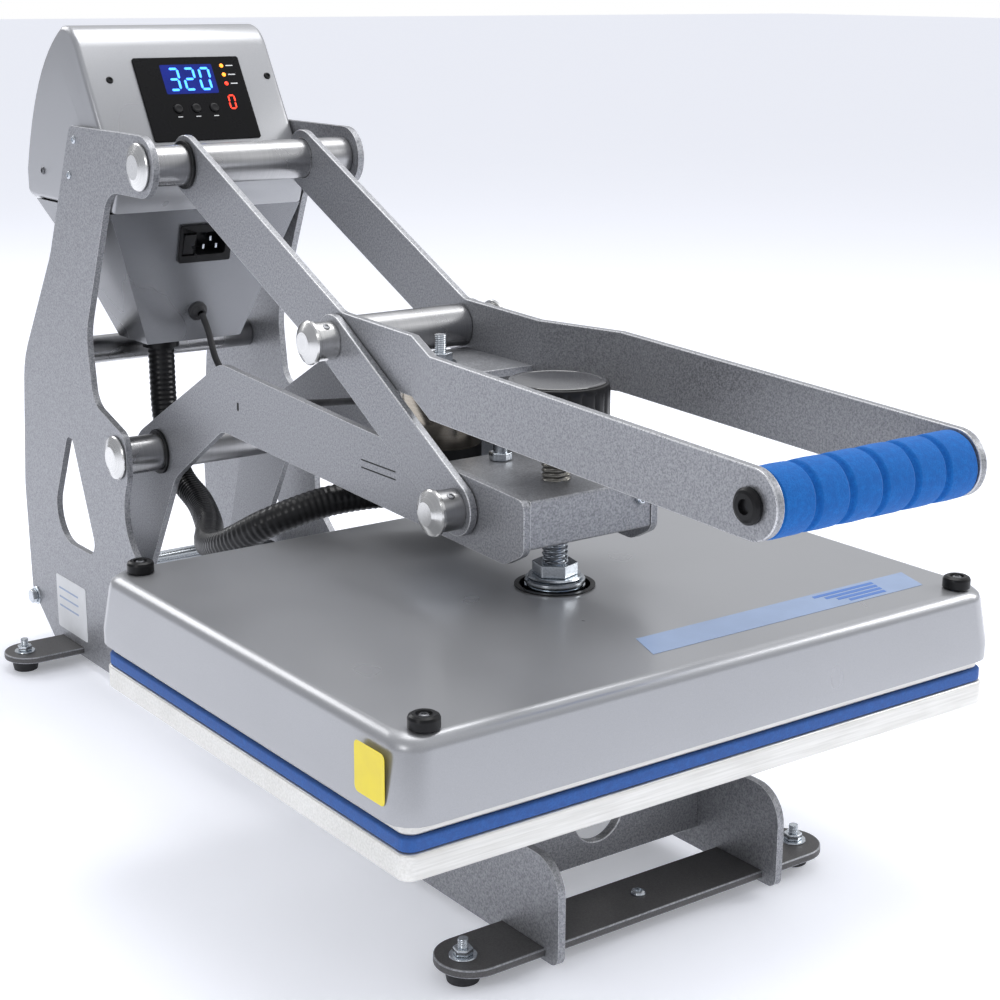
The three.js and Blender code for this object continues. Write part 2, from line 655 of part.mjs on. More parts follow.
function midShaft() {
  const half = ARM_INNER - FIT;
  const end = ARM_HALF + FIT;
  const { radius, neck } = MID_SHAFT;
  return turnedX([[0, -end], [neck, -end], [neck, -half], [radius, -half], [radius, half], [neck, half], [neck, end], [0, end]]);
}

function foamGrip() {
  const half = HANDLE_HALF - SHEET - FIT;
  const { radius, grooves, grooveDepth, grooveWidth } = GRIP;
  const bore = GRIP_ROD.radius + FIT;
  const segment = (2 * half) / (grooves + 1);
  const profile = [[bore, -half], [radius - 1, -half], [radius, 1 - half]];
  for (let groove = 1; groove <= grooves; groove += 1) {
    const middle = -half + groove * segment;
    profile.push([radius, middle - grooveWidth / 2], [radius - grooveDepth, middle], [radius, middle + grooveWidth / 2]);
  }
  profile.push([radius, half - 1], [radius - 1, half], [bore, half], [bore, -half]);
  return turnedX(profile);
}

function gripRod() {
  const { radius, headRadius, headHeight } = GRIP_ROD;
  const face = HANDLE_HALF + FIT;
  const tip = face + headHeight;
  return turnedX([[0, -tip], [headRadius - 2, -tip], [headRadius, -face - 1], [headRadius, -face], [radius, -face],
    [radius, face], [headRadius, face], [headRadius, face + 1], [headRadius - 2, tip], [0, tip]]);
}

/** Disc that the magnet holds, with the stud and nut that hang it from its carrier. */
function strikeDisc() {
  const { radius, thickness, studRadius, studTop, nutRadius, nutHeight } = STRIKE;
  const nut = STRIKE_CARRIER.bottom + STRIKE_CARRIER.thickness + FIT;
  const top = STRIKE_CARRIER.bottom - FIT;
  const bottom = top - thickness;
  return turned([[0, bottom], [radius - 1, bottom], [radius, bottom + 1], [radius, top - 1], [radius - 1, top],
    [studRadius, top], [studRadius, nut], [nutRadius, nut], [nutRadius, nut + nutHeight], [studRadius, nut + nutHeight],
    [studRadius, studTop], [0, studTop]]);
}

function buildHandle(root) {
  const handle = new THREE.Group();
  root.add(handle);
  for (const [name, side] of SIDES) piece(handle, `handle_plate_${name}`, handlePlate(side), MATERIALS.hammertone);
  piece(handle, 'mid_shaft', midShaft(), MATERIALS.turnedSteel, [0, MID_PIVOT[Y], MID_PIVOT[Z]]);
  piece(handle, 'handle_grip', foamGrip(), MATERIALS.blueFoam, [0, GRIP.at[Y], GRIP.at[Z]]);
  piece(handle, 'grip_rod', gripRod(), MATERIALS.blackPlastic, [0, GRIP.at[Y], GRIP.at[Z]]);
  const half = ARM_INNER - FIT;
  const { front, rear, bottom, thickness } = STRIKE_CARRIER;
  const plateShape = drill(rectangle(-half, front, half, rear), [0, MAGNET.y], STRIKE.studRadius + FIT);
  const shaftTunnel = extrudeX(circle(...MID_PIVOT, MID_SHAFT.radius + FIT), -half - 1, half + 1);
  const plate = cut(extrudeZ(plateShape, bottom, bottom + thickness), shaftTunnel);
  piece(handle, 'strike_carrier', plate, MATERIALS.hammertone);
  piece(handle, 'strike_disc', strikeDisc(), MATERIALS.zinc, [0, MAGNET.y, 0]);
}

// ---------------------------------------------------------------- toggle links
function toggleLink(side) {
  const inner = ARM_HALF + LAYER_GAP;
  const outer = inner + SHEET;
  const bossEnd = outer + LINK_BOSS.length;
  const { capRadius, capHeight } = FRONT_SHAFT;
  const plate = extrudeX(barOutline(FRONT_PIVOT, MID_PIVOT, LINK_WIDTH), inner, outer);
  const frontBoss = extrudeX(circle(...FRONT_PIVOT, LINK_BOSS.radius), outer - 1, bossEnd);
  const dome = roundEdge(capRadius, bossEnd + capHeight * 0.55, capRadius * 0.7, bossEnd + capHeight, 3);
  const midBoss = turnedX([[0, outer - 1], [LINK_BOSS.radius, outer - 1], [LINK_BOSS.radius, bossEnd],
    [capRadius, bossEnd], ...dome, [0, bossEnd + capHeight]]).translate(0, ...MID_PIVOT);
  const bore = extrudeX(circle(...FRONT_PIVOT, FRONT_SHAFT.radius + FIT), inner - 5, bossEnd + 5);
  const link = cut(join(plate, frontBoss, midBoss), bore);
  return side > 0 ? link : toGeometry(toSolid(link).mirror([1, 0, 0]));
}

function buildToggleLinks(root) {
  for (const [name, side] of SIDES) piece(root, `toggle_link_${name}`, toggleLink(side), MATERIALS.hammertone);
}

// ---------------------------------------------------------------- control head
/** Unit vectors of the inclined front face in the [Y, Z] plane. */
function faceFrame() {
  const foot = new THREE.Vector2(...HEAD_FACE.foot);
  const up = new THREE.Vector2(...HEAD_FACE.top).sub(foot).normalize();
  const out = new THREE.Vector2(-up.y, up.x);
  return { foot, up, out };
}

/** Matrix that carries [x, along the face, out of the face] into the shared frame. */
function faceMatrix(along, proud) {
  const { foot, up, out } = faceFrame();
  const y = foot.x + up.x * along + out.x * proud;
  const z = foot.y + up.y * along + out.y * proud;
  return new THREE.Matrix4().set(1, 0, 0, 0, 0, up.x, out.x, y, 0, up.y, out.y, z, 0, 0, 0, 1);
}

function headProfile(inset) {
  const { foot, up, out } = faceFrame();
  const face = (along) => [foot.x + up.x * along - out.x * inset, foot.y + up.y * along - out.y * inset];
  const [footY, footZ] = face(inset);
  const [topY, topZ] = face(HEAD_FACE.top[Z] - foot.y + 18 - inset);
  const floor = inset > 0 ? HEAD.splitZ - 2 : HEAD.splitZ;
  const shape = new THREE.Shape();
  shape.moveTo(foot.x + 6 + inset, floor);
  shape.quadraticCurveTo(foot.x - 3 + inset, HEAD.splitZ + 16, footY, footZ);
  shape.lineTo(topY, topZ);
  shape.quadraticCurveTo(topY + 5, topZ + 8, topY + 15, topZ + 7);
  shape.quadraticCurveTo(654 - inset, 566 - inset, 681 - inset, 468);
  shape.lineTo(681 - inset, 452);
  shape.lineTo(664 - inset, floor);
  shape.closePath();
  return shape;
}

function headShell() {
  const outer = extrudeX(headProfile(0), -HEAD_HALF, HEAD_HALF);
  const inner = extrudeX(headProfile(HEAD.wall), HEAD.wall - HEAD_HALF, HEAD_HALF - HEAD.wall);
  const bores = buttonCentres().map((x) =>
    extrudeZ(circle(x, 0, BUTTON.radius + FIT), -20, 20).applyMatrix4(faceMatrix(BUTTON.along, 0)));
  return cut(outer, inner, ...bores);
}

function buttonCentres() {
  return [-1, 0, 1].map((step) => DISPLAY.x + BUTTON.offset + step * BUTTON.pitch);
}

function displayPanel() {
  const half = DISPLAY.width / 2;
  const shape = rectangle(DISPLAY.x - half, 0, DISPLAY.x + half, DISPLAY.height, 2);
  for (const x of buttonCentres()) drill(shape, [x, BUTTON.along - DISPLAY.along], BUTTON.radius + FIT);
  return extrudeZ(shape, 0, DISPLAY.thickness).applyMatrix4(faceMatrix(DISPLAY.along, FIT));
}

function button() {
  const top = DISPLAY.thickness + FIT + BUTTON.proud;
  const bottom = top - BUTTON.length;
  const edge = roundEdge(BUTTON.radius, top - 0.8, BUTTON.radius - 0.8, top, 2);
  return turned([[0, bottom], [BUTTON.radius, bottom], ...edge, [0, top]], 12);
}

function controlBoard() {
  const half = BOARD.width / 2;
  return extrudeZ(rectangle(-half, 0, half, BOARD.height), 0, BOARD.thickness)
    .applyMatrix4(faceMatrix(DISPLAY.along + 4, -BOARD.depth));
}

/** Front face of the lower box, as [Y, Z] of its upper and lower edge. */
const BOX_FACE = { top: [500, HEAD.splitZ - FIT], bottom: [536, HEAD.bottomZ] };

function boxFaceMatrix(z, x = 0) {
  const down = new THREE.Vector2(...BOX_FACE.bottom).sub(new THREE.Vector2(...BOX_FACE.top)).normalize();
  const share = (z - BOX_FACE.top[Z]) / (BOX_FACE.bottom[Z] - BOX_FACE.top[Z]);
  const y = BOX_FACE.top[Y] + (BOX_FACE.bottom[Y] - BOX_FACE.top[Y]) * share;
  return new THREE.Matrix4().set(1, 0, 0, x, 0, -down.x, down.y, y, 0, -down.y, -down.x, z, 0, 0, 0, 1);
}

function chassisBody(inset) {
  const lift = inset > 0 ? 2 : 0;
  const profile = roundedOutline([
    [BOX_FACE.top[Y] + inset, BOX_FACE.top[Z] + lift],
    [BOX_FACE.bottom[Y] + inset, HEAD.bottomZ + inset],
    [596 - inset, HEAD.bottomZ + inset],
    [632 - inset, 408],
    [660 - inset, BOX_FACE.top[Z] + lift],
  ]);
  const topHalf = HEAD_HALF - inset;
  const taper = roundedOutline([
    [-topHalf, BOX_FACE.top[Z] + lift], [-HEAD.bottomHalf + inset, HEAD.bottomZ + inset],
    [HEAD.bottomHalf - inset, HEAD.bottomZ + inset], [topHalf, BOX_FACE.top[Z] + lift],
  ]);
  return common(extrudeX(profile, -HEAD_HALF, HEAD_HALF), extrudeY(taper, BOX_FACE.top[Y] - 5, 700));
}

function chassis() {
  const half = INLET.width / 2 - INLET.rim + FIT;
  const tall = INLET.height / 2 - INLET.rim + FIT;
  const inletHole = extrudeZ(rectangle(-half, -tall, half, tall), -20, 20).applyMatrix4(boxFaceMatrix(INLET.z));
  const grommetHole = extrudeZ(circle(0, 0, GROMMET.radius - 2), -20, 20).applyMatrix4(boxFaceMatrix(GROMMET.z));
  const [conduitX, conduitY] = CONDUIT_ROUTE[0];
  const conduitHole = extrudeZ(circle(conduitX, conduitY, CONDUIT_RADIUS - 2), HEAD.bottomZ - 5, HEAD.bottomZ + 10);
  return cut(chassisBody(0), chassisBody(HEAD.wall), inletHole, grommetHole, conduitHole);
}

function powerInlet() {
  const { width, height, depth, proud, rim } = INLET;
  const flange = extrudeZ(rectangle(-width / 2, -height / 2, width / 2, height / 2, 2), FIT, proud);
  const half = width / 2 - rim;
  const tall = height / 2 - rim;
  const body = extrudeZ(rectangle(-half, -tall, half, tall), proud - depth, proud - 0.5);
  const socket = extrudeZ(rectangle(-10, -tall + 4, half - 3, tall - 4, 3), proud - depth + 4, proud + 2);
  const rockerWell = extrudeZ(rockerOutline(FIT), proud - ROCKER.depth - 2, proud + 2);
  return cut(join(flange, body), socket, rockerWell).applyMatrix4(boxFaceMatrix(INLET.z));
}

const ROCKER_X = -17;

function rockerOutline(grow) {
  const half = ROCKER.width / 2 + grow;
  const tall = ROCKER.height / 2 + grow;
  return rectangle(ROCKER_X - half, -tall, ROCKER_X + half, tall);
}

/** Rocker with its two pads bent about the middle, pressed in at the lower end. */
function powerSwitch() {
  const { width, height, depth } = ROCKER;
  const half = height / 2 - 1;
  const shape = roundedOutline([[2 - half, 3 - depth], [half - 2, 3 - depth], [half, 3.2], [0, 1.2], [-half, 0.2]]);
  const solid = extrudeX(shape, -width / 2 + 0.4, width / 2 - 0.4);
  return solid.translate(ROCKER_X, 0, INLET.proud - 1).applyMatrix4(boxFaceMatrix(INLET.z));
}

function grommet() {
  const { radius, proud, bore } = GROMMET;
  const profile = [[bore, FIT], [radius, FIT], ...roundEdge(radius, proud - 4, bore + 1.5, proud, 4), [bore, proud], [bore, FIT]];
  return turned(profile, 24).applyMatrix4(boxFaceMatrix(GROMMET.z));
}

function buildControlHead(root) {
  const head = new THREE.Group();
  root.add(head);
  piece(head, 'head_shell', headShell(), MATERIALS.satinSilver);
  piece(head, 'head_chassis', chassis(), MATERIALS.satinSilver);
  piece(head, 'display_panel', displayPanel(), MATERIALS.darkPanel);
  piece(head, 'control_board', controlBoard(), MATERIALS.circuitBoard);
  const names = ['left', 'middle', 'right'];
  buttonCentres().forEach((x, index) => {
    const cap = button().translate(x, 0, 0).applyMatrix4(faceMatrix(BUTTON.along, 0));
    piece(head, `display_button_${names[index]}`, cap, MATERIALS.blackPlastic);
  });
  piece(head, 'power_inlet', powerInlet(), MATERIALS.blackPlastic);
  piece(head, 'power_switch', powerSwitch(), MATERIALS.blackPlastic);
  piece(head, 'cable_grommet', grommet(), MATERIALS.blackRubber);
}

// ---------------------------------------------------------------- springs and cords
/** Helix between the two spring bars. */
class CoilCurve extends THREE.Curve {
  constructor(start, end, radius, turns) {
    super();
    this.start = start;
    this.axis = end.clone().sub(start);
    this.side = new THREE.Vector3(1, 0, 0);
    this.up = new THREE.Vector3().crossVectors(this.axis, this.side).normalize();
    this.radius = radius;
    this.turns = turns;
  }

  getPoint(t, target = new THREE.Vector3()) {
    const angle = 2 * Math.PI * this.turns * t;
    target.copy(this.start).addScaledVector(this.axis, t);
    target.addScaledVector(this.side, this.radius * Math.cos(angle));
    return target.addScaledVector(this.up, this.radius * Math.sin(angle));
  }
}

function liftSpring(side) {
  const start = new THREE.Vector3(side * SPRING.x, ...ANCHOR_BAR.at);
  const end = new THREE.Vector3(side * SPRING.x, ...TAIL_BAR.at);
  const along = end.clone().sub(start).normalize();
  const clear = ANCHOR_BAR.radius + SPRING.wire + 2;
  start.addScaledVector(along, clear);
  end.addScaledVector(along, -clear);
  const coil = new CoilCurve(start, end, SPRING.coilRadius, SPRING.turns);
  return sweptRod(coil, SPRING.wire, 8, 56);
}

function cordAlong(route, radius, sides, steps) {
  const curve = new THREE.CatmullRomCurve3(route.map((point) => new THREE.Vector3(...point)), false, 'centripetal');
  return sweptRod(curve, radius, sides, steps);
}

function buildSpringsAndCords(root) {
  for (const [name, side] of SIDES) piece(root, `lift_spring_${name}`, liftSpring(side), MATERIALS.springSteel);
  piece(root, 'heater_conduit', cordAlong(CONDUIT_ROUTE, CONDUIT_RADIUS, 10, 36), MATERIALS.blackRubber);
  piece(root, 'magnet_cable', cordAlong(CABLE_ROUTE, CABLE_RADIUS, 8, 24), MATERIALS.blackRubber);
}

// ---------------------------------------------------------------- assembly
const assembly = new THREE.Group();
buildFrame(assembly);
buildLowerPlaten(assembly);
buildPressArm(assembly);
buildHeatHead(assembly);
buildPressureScrew(assembly);
buildHandle(assembly);
buildToggleLinks(assembly);
buildControlHead(assembly);
buildSpringsAndCords(assembly);

// The shared origin lies on the floor, below the middle of the whole machine.
const extent = new THREE.Box3().setFromObject(assembly);
assembly.position.y = -(extent.min.y + extent.max.y) / 2;

const heatPress = new THREE.Group();
heatPress.name = 'heat_press';
heatPress.add(assembly);

export default heatPress;
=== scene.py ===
"""Looks of a clamshell heat press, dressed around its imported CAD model.

Positions are in metres in the shared frame: X to the operator's right, Y from the
operator to the rear, Z up from the floor. Profiles and small sizes are in millimetres.
"""

import json
import logging
import math
from dataclasses import dataclass
from enum import Enum
from typing import Callable, Optional, Sequence

import bmesh
import bpy
from mathutils import Matrix, Vector

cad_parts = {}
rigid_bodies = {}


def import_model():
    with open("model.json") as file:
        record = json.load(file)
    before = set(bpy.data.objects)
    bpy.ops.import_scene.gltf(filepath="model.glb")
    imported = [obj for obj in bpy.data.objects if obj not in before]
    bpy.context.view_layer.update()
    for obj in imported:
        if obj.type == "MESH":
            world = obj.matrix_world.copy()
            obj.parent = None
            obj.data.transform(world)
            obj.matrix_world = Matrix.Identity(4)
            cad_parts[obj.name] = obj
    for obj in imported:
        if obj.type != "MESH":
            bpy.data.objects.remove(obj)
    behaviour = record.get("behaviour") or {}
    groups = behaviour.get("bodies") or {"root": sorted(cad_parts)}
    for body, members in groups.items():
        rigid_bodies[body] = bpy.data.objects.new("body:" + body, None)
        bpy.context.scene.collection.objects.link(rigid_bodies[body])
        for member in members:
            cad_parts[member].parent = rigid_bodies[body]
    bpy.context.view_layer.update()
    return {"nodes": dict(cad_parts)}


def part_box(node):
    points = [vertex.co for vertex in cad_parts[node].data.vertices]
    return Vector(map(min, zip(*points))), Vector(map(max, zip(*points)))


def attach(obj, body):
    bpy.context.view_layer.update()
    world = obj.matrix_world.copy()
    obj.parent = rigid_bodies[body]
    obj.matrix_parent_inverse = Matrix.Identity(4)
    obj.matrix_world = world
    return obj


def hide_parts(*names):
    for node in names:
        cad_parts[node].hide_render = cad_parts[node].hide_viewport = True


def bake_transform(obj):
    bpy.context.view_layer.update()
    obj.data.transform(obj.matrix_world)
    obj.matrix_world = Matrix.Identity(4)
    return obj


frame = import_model()

LOG = logging.getLogger("heat_press")
MM = 0.001
Pair = tuple[float, float]
Triple = tuple[float, float, float]
SHARP_ANGLE = 38.0  # degrees: edges sharper than this are hard, and get rounded
TURNED_SHARP_ANGLE = 16.0  # the same for turned pieces
WELD = 0.02  # millimetres between corners that are one
FLAT_ANGLE = 0.6  # degrees between faces that are one
RIGHT = Vector((1, 0, 0))
UP = Vector((0, 0, 1))
SIDES = (("left", -1), ("right", 1))
ROWS = ("front", "rear")


class Grain(Enum):
    """Kinds of fine surface structure, each made by one shader node group."""

    SPECKLE = "Hammertone Speckle"
    FLAKE = "Paint Flake"
    TURNED = "Turned Rings"
    BRUSHED = "Long Brushing"
    PORES = "Foam Pores"
    MOULDED = "Moulded Texture"


class Axis(Enum):
    """Direction that a turned piece's own Z axis points in."""

    X = "X"
    MINUS_X = "-X"
    Z = "Z"

    def matrix(self) -> Matrix:
        """Gives the rotation that carries the local Z axis onto this direction.

        Returns:
            The rotation's matrix.
        """
        turns = {
            Axis.X: Matrix.Rotation(math.pi / 2, 4, "Y"),
            Axis.MINUS_X: Matrix.Rotation(-math.pi / 2, 4, "Y"),
            Axis.Z: Matrix.Identity(4),
        }
        return turns[self]


# ------------------------------------------------------------------ shader graphs
class Graph:
    """Adds nodes and links to one shader node tree."""

    def __init__(self, tree: bpy.types.NodeTree) -> None:
        """Wraps a node tree.

        Args:
            tree: Tree that receives the nodes.
        """
        self.tree = tree

    def node(self, kind: str, inputs: Optional[dict] = None, **settings: object) -> bpy.types.Node:
        """Adds one node.

        Args:
            kind: Blender's node type.
            inputs: Values or source sockets, by input name or index.
            **settings: Properties of the node.

        Returns:
            The new node.
        """
        node = self.tree.nodes.new(kind)
        for key, value in settings.items():
            setattr(node, key, value)
        for key, value in (inputs or {}).items():
            if isinstance(value, bpy.types.NodeSocket):
                self.tree.links.new(value, node.inputs[key])
            else:
                node.inputs[key].default_value = value
        return node

    def math(self, operation: str, a: object, b: object = 0.0) -> bpy.types.NodeSocket:
        """Adds a math node and returns its result.

        Args:
            operation: Blender's operation name.
            a: First value or socket.
            b: Second value or socket.

        Returns:
            The output socket.
        """
        return self.node("ShaderNodeMath", {0: a, 1: b}, operation=operation).outputs[0]

    def noise(self, vector: object, scale: object, detail: float = 3.0) -> bpy.types.NodeSocket:
        """Adds a noise texture and returns its factor.

        Args:
            vector: Socket with the coordinates.
            scale: Features per metre, as a value or a socket.
            detail: Octaves of the noise.

        Returns:
            The factor socket.
        """
        inputs = {"Vector": vector, "Scale": scale, "Detail": detail, "Roughness": 0.6}
        return self.node("ShaderNodeTexNoise", inputs).outputs[0]

    def ramp(self, value: bpy.types.NodeSocket, low: float, high: float) -> bpy.types.NodeSocket:
        """Stretches low to high over 0 to 1.

        Args:
            value: Socket to stretch.
            low: Value that becomes 0.
            high: Value that becomes 1.

        Returns:
            The stretched socket.
        """
        inputs = {"Value": value, "From Min": low, "From Max": high}
        return self.node("ShaderNodeMapRange", inputs).outputs[0]

    def mix(self, factor: object, a: object, b: object) -> bpy.types.NodeSocket:
        """Mixes two colours.

        Args:
            factor: Share of the second colour.
            a: First colour or socket.
            b: Second colour or socket.

        Returns:
            The colour socket.
        """
        node = self.node("ShaderNodeMix", data_type="RGBA")
        for index, value in ((0, factor), (6, a), (7, b)):
            if isinstance(value, bpy.types.NodeSocket):
                self.tree.links.new(value, node.inputs[index])
            elif index == 0:
                node.inputs[index].default_value = value
            else:
                node.inputs[index].default_value = (*value, 1.0)
        return node.outputs[2]


class EffectGroup:
    """A shared shader node group with float inputs and outputs."""

    def __init__(self, name: str, inputs: dict[str, float], outputs: Sequence[str]) -> None:
        """Makes the empty group.

        Args:
            name: Name of the group.
            inputs: Default value of each input, by name.
            outputs: Names of the outputs.
        """
        self.tree = bpy.data.node_groups.new(name, "ShaderNodeTree")
        kind, sockets = "NodeSocketFloat", self.tree.interface
        for key, value in inputs.items():
            sockets.new_socket(key, in_out="INPUT", socket_type=kind).default_value = value
        for key in outputs:
            sockets.new_socket(key, in_out="OUTPUT", socket_type=kind)
        self.graph = Graph(self.tree)
        self.entry = self.graph.node("NodeGroupInput")
        self.exit = self.graph.node("NodeGroupOutput")

    def coordinates(self) -> bpy.types.NodeSocket:
        """Socket with the piece's own coordinates."""
        return self.graph.node("ShaderNodeTexCoord").outputs["Object"]

    def scaled(self, factors: Triple) -> bpy.types.NodeSocket:
        """Socket with the piece's coordinates, stretched along each axis by its factor."""
        inputs = {0: self.coordinates(), 1: factors}
        return self.graph.node("ShaderNodeVectorMath", inputs, operation="MULTIPLY").outputs[0]

    def finish(self, **outputs: bpy.types.NodeSocket) -> None:
        """Joins sockets to the group's outputs, by name."""
        for key, socket in outputs.items():
            self.graph.tree.links.new(socket, self.exit.inputs[key])


def build_grain_groups() -> None:
    """Makes one node group for each kind of grain, with outputs Tint, Height and Gloss."""
    for grain in Grain:
        group = EffectGroup(grain.value, {"Density": 600.0}, ("Tint", "Height", "Gloss"))
        graph, density = group.graph, group.entry.outputs["Density"]
        plain = group.coordinates()
        if grain is Grain.SPECKLE:
            fine = graph.noise(plain, density, 2.0)
            coarse = graph.noise(plain, graph.math("MULTIPLY", density, 0.6), 1.0)
            coarse_share = graph.math("MULTIPLY", coarse, 0.4)
            blend = graph.math("ADD", graph.math("MULTIPLY", fine, 0.6), coarse_share)
            tint = graph.ramp(blend, 0.38, 0.62)
            group.finish(Tint=tint, Height=blend, Gloss=coarse)
        elif grain is Grain.FLAKE:
            fine = graph.noise(plain, density, 1.0)
            cloud = graph.noise(plain, 9.0, 2.0)
            group.finish(Tint=graph.ramp(fine, 0.3, 0.7), Height=fine, Gloss=cloud)
        elif grain is Grain.TURNED:
            split = graph.node("ShaderNodeSeparateXYZ", {0: plain})
            across = graph.math("POWER", split.outputs[0], 2.0)
            across = graph.math("ADD", across, graph.math("POWER", split.outputs[1], 2.0))
            radius = graph.math("SQRT", across)
            spot = graph.node("ShaderNodeCombineXYZ", {0: radius, 1: split.outputs[2]}).outputs[0]
            rings = graph.noise(spot, density, 3.0)
            smear = graph.noise(plain, 25.0, 1.0)
            group.finish(Tint=graph.ramp(rings, 0.3, 0.7), Height=rings, Gloss=smear)
        elif grain is Grain.BRUSHED:
            strokes = graph.noise(group.scaled((0.03, 1.0, 1.0)), density, 3.0)
            cloud = graph.noise(plain, 30.0, 3.0)
            group.finish(Tint=graph.ramp(strokes, 0.3, 0.7), Height=strokes, Gloss=cloud)
        elif grain is Grain.PORES:
            inputs = {"Vector": plain, "Scale": density}
            cells = graph.node("ShaderNodeTexVoronoi", inputs).outputs["Distance"]
            cloud = graph.noise(plain, graph.math("MULTIPLY", density, 0.3), 3.0)
            clouded = graph.ramp(cloud, 0.35, 0.65)
            tint = graph.math("MULTIPLY", graph.ramp(cells, 0.15, 0.6), clouded)
            group.finish(Tint=tint, Height=cells, Gloss=cloud)
        else:
            fine = graph.noise(plain, density, 2.0)
            cloud = graph.noise(plain, 45.0, 3.0)
            group.finish(Tint=graph.ramp(cloud, 0.35, 0.65), Height=fine, Gloss=cloud)


@dataclass(frozen=True)
class Finish:
    """A surface finish: its colours, gloss and grain.

    Attributes:
        title: Name of the material.
        slot: Material slot of the record that it belongs to; not used.
        colour: Main colour, linear.
        shade: Colour at the other end of the grain's tint.
        grain: Kind of fine structure.
        size: Size of the grain in millimetres.
        relief: Height of the grain in millimetres.
        roughness: Mean roughness.
        spread: How far the roughness varies.
        metallic: Metallic share.
        coat: Weight of the clear coat.
        sheen: Weight of the sheen.
        glow: Emission strength.
        specular: Strength of the plain reflection.
        edge: Finish of the rounded edges, where it differs: a lighter one, which paints highlight
            on them.
    """

    title: str
    slot: str
    colour: Triple
    shade: Triple
    grain: Grain
    size: float
    relief: float
    roughness: float
    spread: float = 0.08
    metallic: float = 0.0
    coat: float = 0.0
    sheen: float = 0.0
    glow: float = 0.0
    specular: float = 0.5
    edge: Optional["Finish"] = None

    def material(self) -> bpy.types.Material:
        """Gives the finish's material, which is made on first use.

        Returns:
            The material.
        """
        found = bpy.data.materials.get(self.title)
        if found is not None:
            return found
        material = bpy.data.materials.new(self.title)
        material.use_nodes = True
        material.diffuse_color = (*self.colour, 1.0)
        graph = Graph(material.node_tree)
        shader = material.node_tree.nodes["Principled BSDF"]
        grain = graph.node("ShaderNodeGroup", node_tree=bpy.data.node_groups[self.grain.value])
        grain.inputs["Density"].default_value = 1.0 / (self.size * MM)
        colour = graph.mix(grain.outputs["Tint"], self.shade, self.colour)
        links = material.node_tree.links
        links.new(colour, shader.inputs["Base Color"])
        inputs = {"Value": grain.outputs["Gloss"], "From Min": 0.3, "From Max": 0.7}
        inputs["To Min"] = max(0.02, self.roughness - self.spread)
        inputs["To Max"] = min(1.0, self.roughness + self.spread)
        links.new(graph.node("ShaderNodeMapRange", inputs).outputs[0], shader.inputs["Roughness"])
        bump = graph.node("ShaderNodeBump", {"Height": grain.outputs["Height"]})
        bump.inputs["Strength"].default_value = 1.0
        bump.inputs["Distance"].default_value = self.relief * MM
        links.new(bump.outputs[0], shader.inputs["Normal"])
        shader.inputs["Metallic"].default_value = self.metallic
        shader.inputs["Specular IOR Level"].default_value = self.specular
        shader.inputs["Coat Weight"].default_value = self.coat
        shader.inputs["Coat Roughness"].default_value = 0.12
        shader.inputs["Sheen Weight"].default_value = self.sheen
        if self.glow > 0:
            links.new(colour, shader.inputs["Emission Color"])
            shader.inputs["Emission Strength"].default_value = self.glow
        return material


# Lighter hammertone for the rounded edges: a painted highlight.
EDGE_HIGHLIGHT_PAINT = Finish(
    "Rubbed paint edge", "hammertone", (0.66, 0.665, 0.68), (0.54, 0.545, 0.56),
    Grain.SPECKLE, 0.9, 0.01, 0.3, 0.05, metallic=0.6)
# Hammertone paint; its rounded edges take the lighter painted highlight.
HAMMERTONE = Finish(
    "Hammertone silver", "hammertone", (0.405, 0.41, 0.43), (0.215, 0.22, 0.235),
    Grain.SPECKLE, 1.2, 0.04, 0.42, 0.07, metallic=0.6, edge=EDGE_HIGHLIGHT_PAINT)
SATIN = Finish(
    "Satin silver paint", "satin_silver", (0.41, 0.415, 0.43), (0.37, 0.375, 0.388),
    Grain.FLAKE, 0.5, 0.003, 0.3, 0.03, metallic=0.6, coat=0.2)
# Darker satin for the lower housing: painted shade.
SATIN_PAINTED_SHADE = Finish(
    "Shaded satin paint", "satin_silver", (0.235, 0.24, 0.255), (0.2, 0.205, 0.217),
    Grain.FLAKE, 0.5, 0.003, 0.26, 0.04, metallic=0.75, coat=0.2)
STEEL = Finish(
    "Turned steel", "turned_steel", (0.44, 0.44, 0.445), (0.36, 0.36, 0.365),
    Grain.TURNED, 0.6, 0.006, 0.3, 0.05, metallic=1.0)
BRIGHT = Finish(
    "Bright turned caps", "turned_steel", (0.74, 0.735, 0.72), (0.62, 0.62, 0.61),
    Grain.TURNED, 0.8, 0.006, 0.22, 0.05, metallic=1.0)
ZINC = Finish(
    "Bright zinc", "zinc", (0.66, 0.70, 0.74), (0.5, 0.53, 0.56),
    Grain.FLAKE, 1.2, 0.01, 0.2, 0.07, metallic=1.0)
THREAD = Finish(
    "Oiled thread steel", "zinc", (0.33, 0.32, 0.29), (0.2, 0.19, 0.17),
    Grain.FLAKE, 1.0, 0.02, 0.3, 0.1, metallic=1.0)
ALUMINIUM = Finish(
    "Machined aluminium", "cast_aluminium", (0.80, 0.79, 0.755), (0.66, 0.65, 0.61),
    Grain.BRUSHED, 1.6, 0.03, 0.42, 0.1, metallic=0.7)
BLUE_PAD = Finish(
    "Blue silicone sponge", "blue_pad", (0.032, 0.125, 0.41), (0.025, 0.095, 0.33),
    Grain.PORES, 1.4, 0.12, 0.82, 0.06, sheen=0.1)
BLUE_FOAM = Finish(
    "Blue grip foam", "blue_foam", (0.012, 0.155, 0.51), (0.008, 0.115, 0.42),
    Grain.PORES, 1.1, 0.16, 0.9, 0.05, sheen=0.08, specular=0.2)
RUBBER = Finish(
    "Black rubber", "black_rubber", (0.014, 0.014, 0.016), (0.022, 0.022, 0.024),
    Grain.MOULDED, 1.2, 0.03, 0.62, 0.1)
BRAID = Finish(
    "Black woven sleeve", "black_rubber", (0.003, 0.003, 0.0035), (0.008, 0.008, 0.009),
    Grain.MOULDED, 0.8, 0.04, 0.36, 0.1, coat=0.1, specular=0.3)
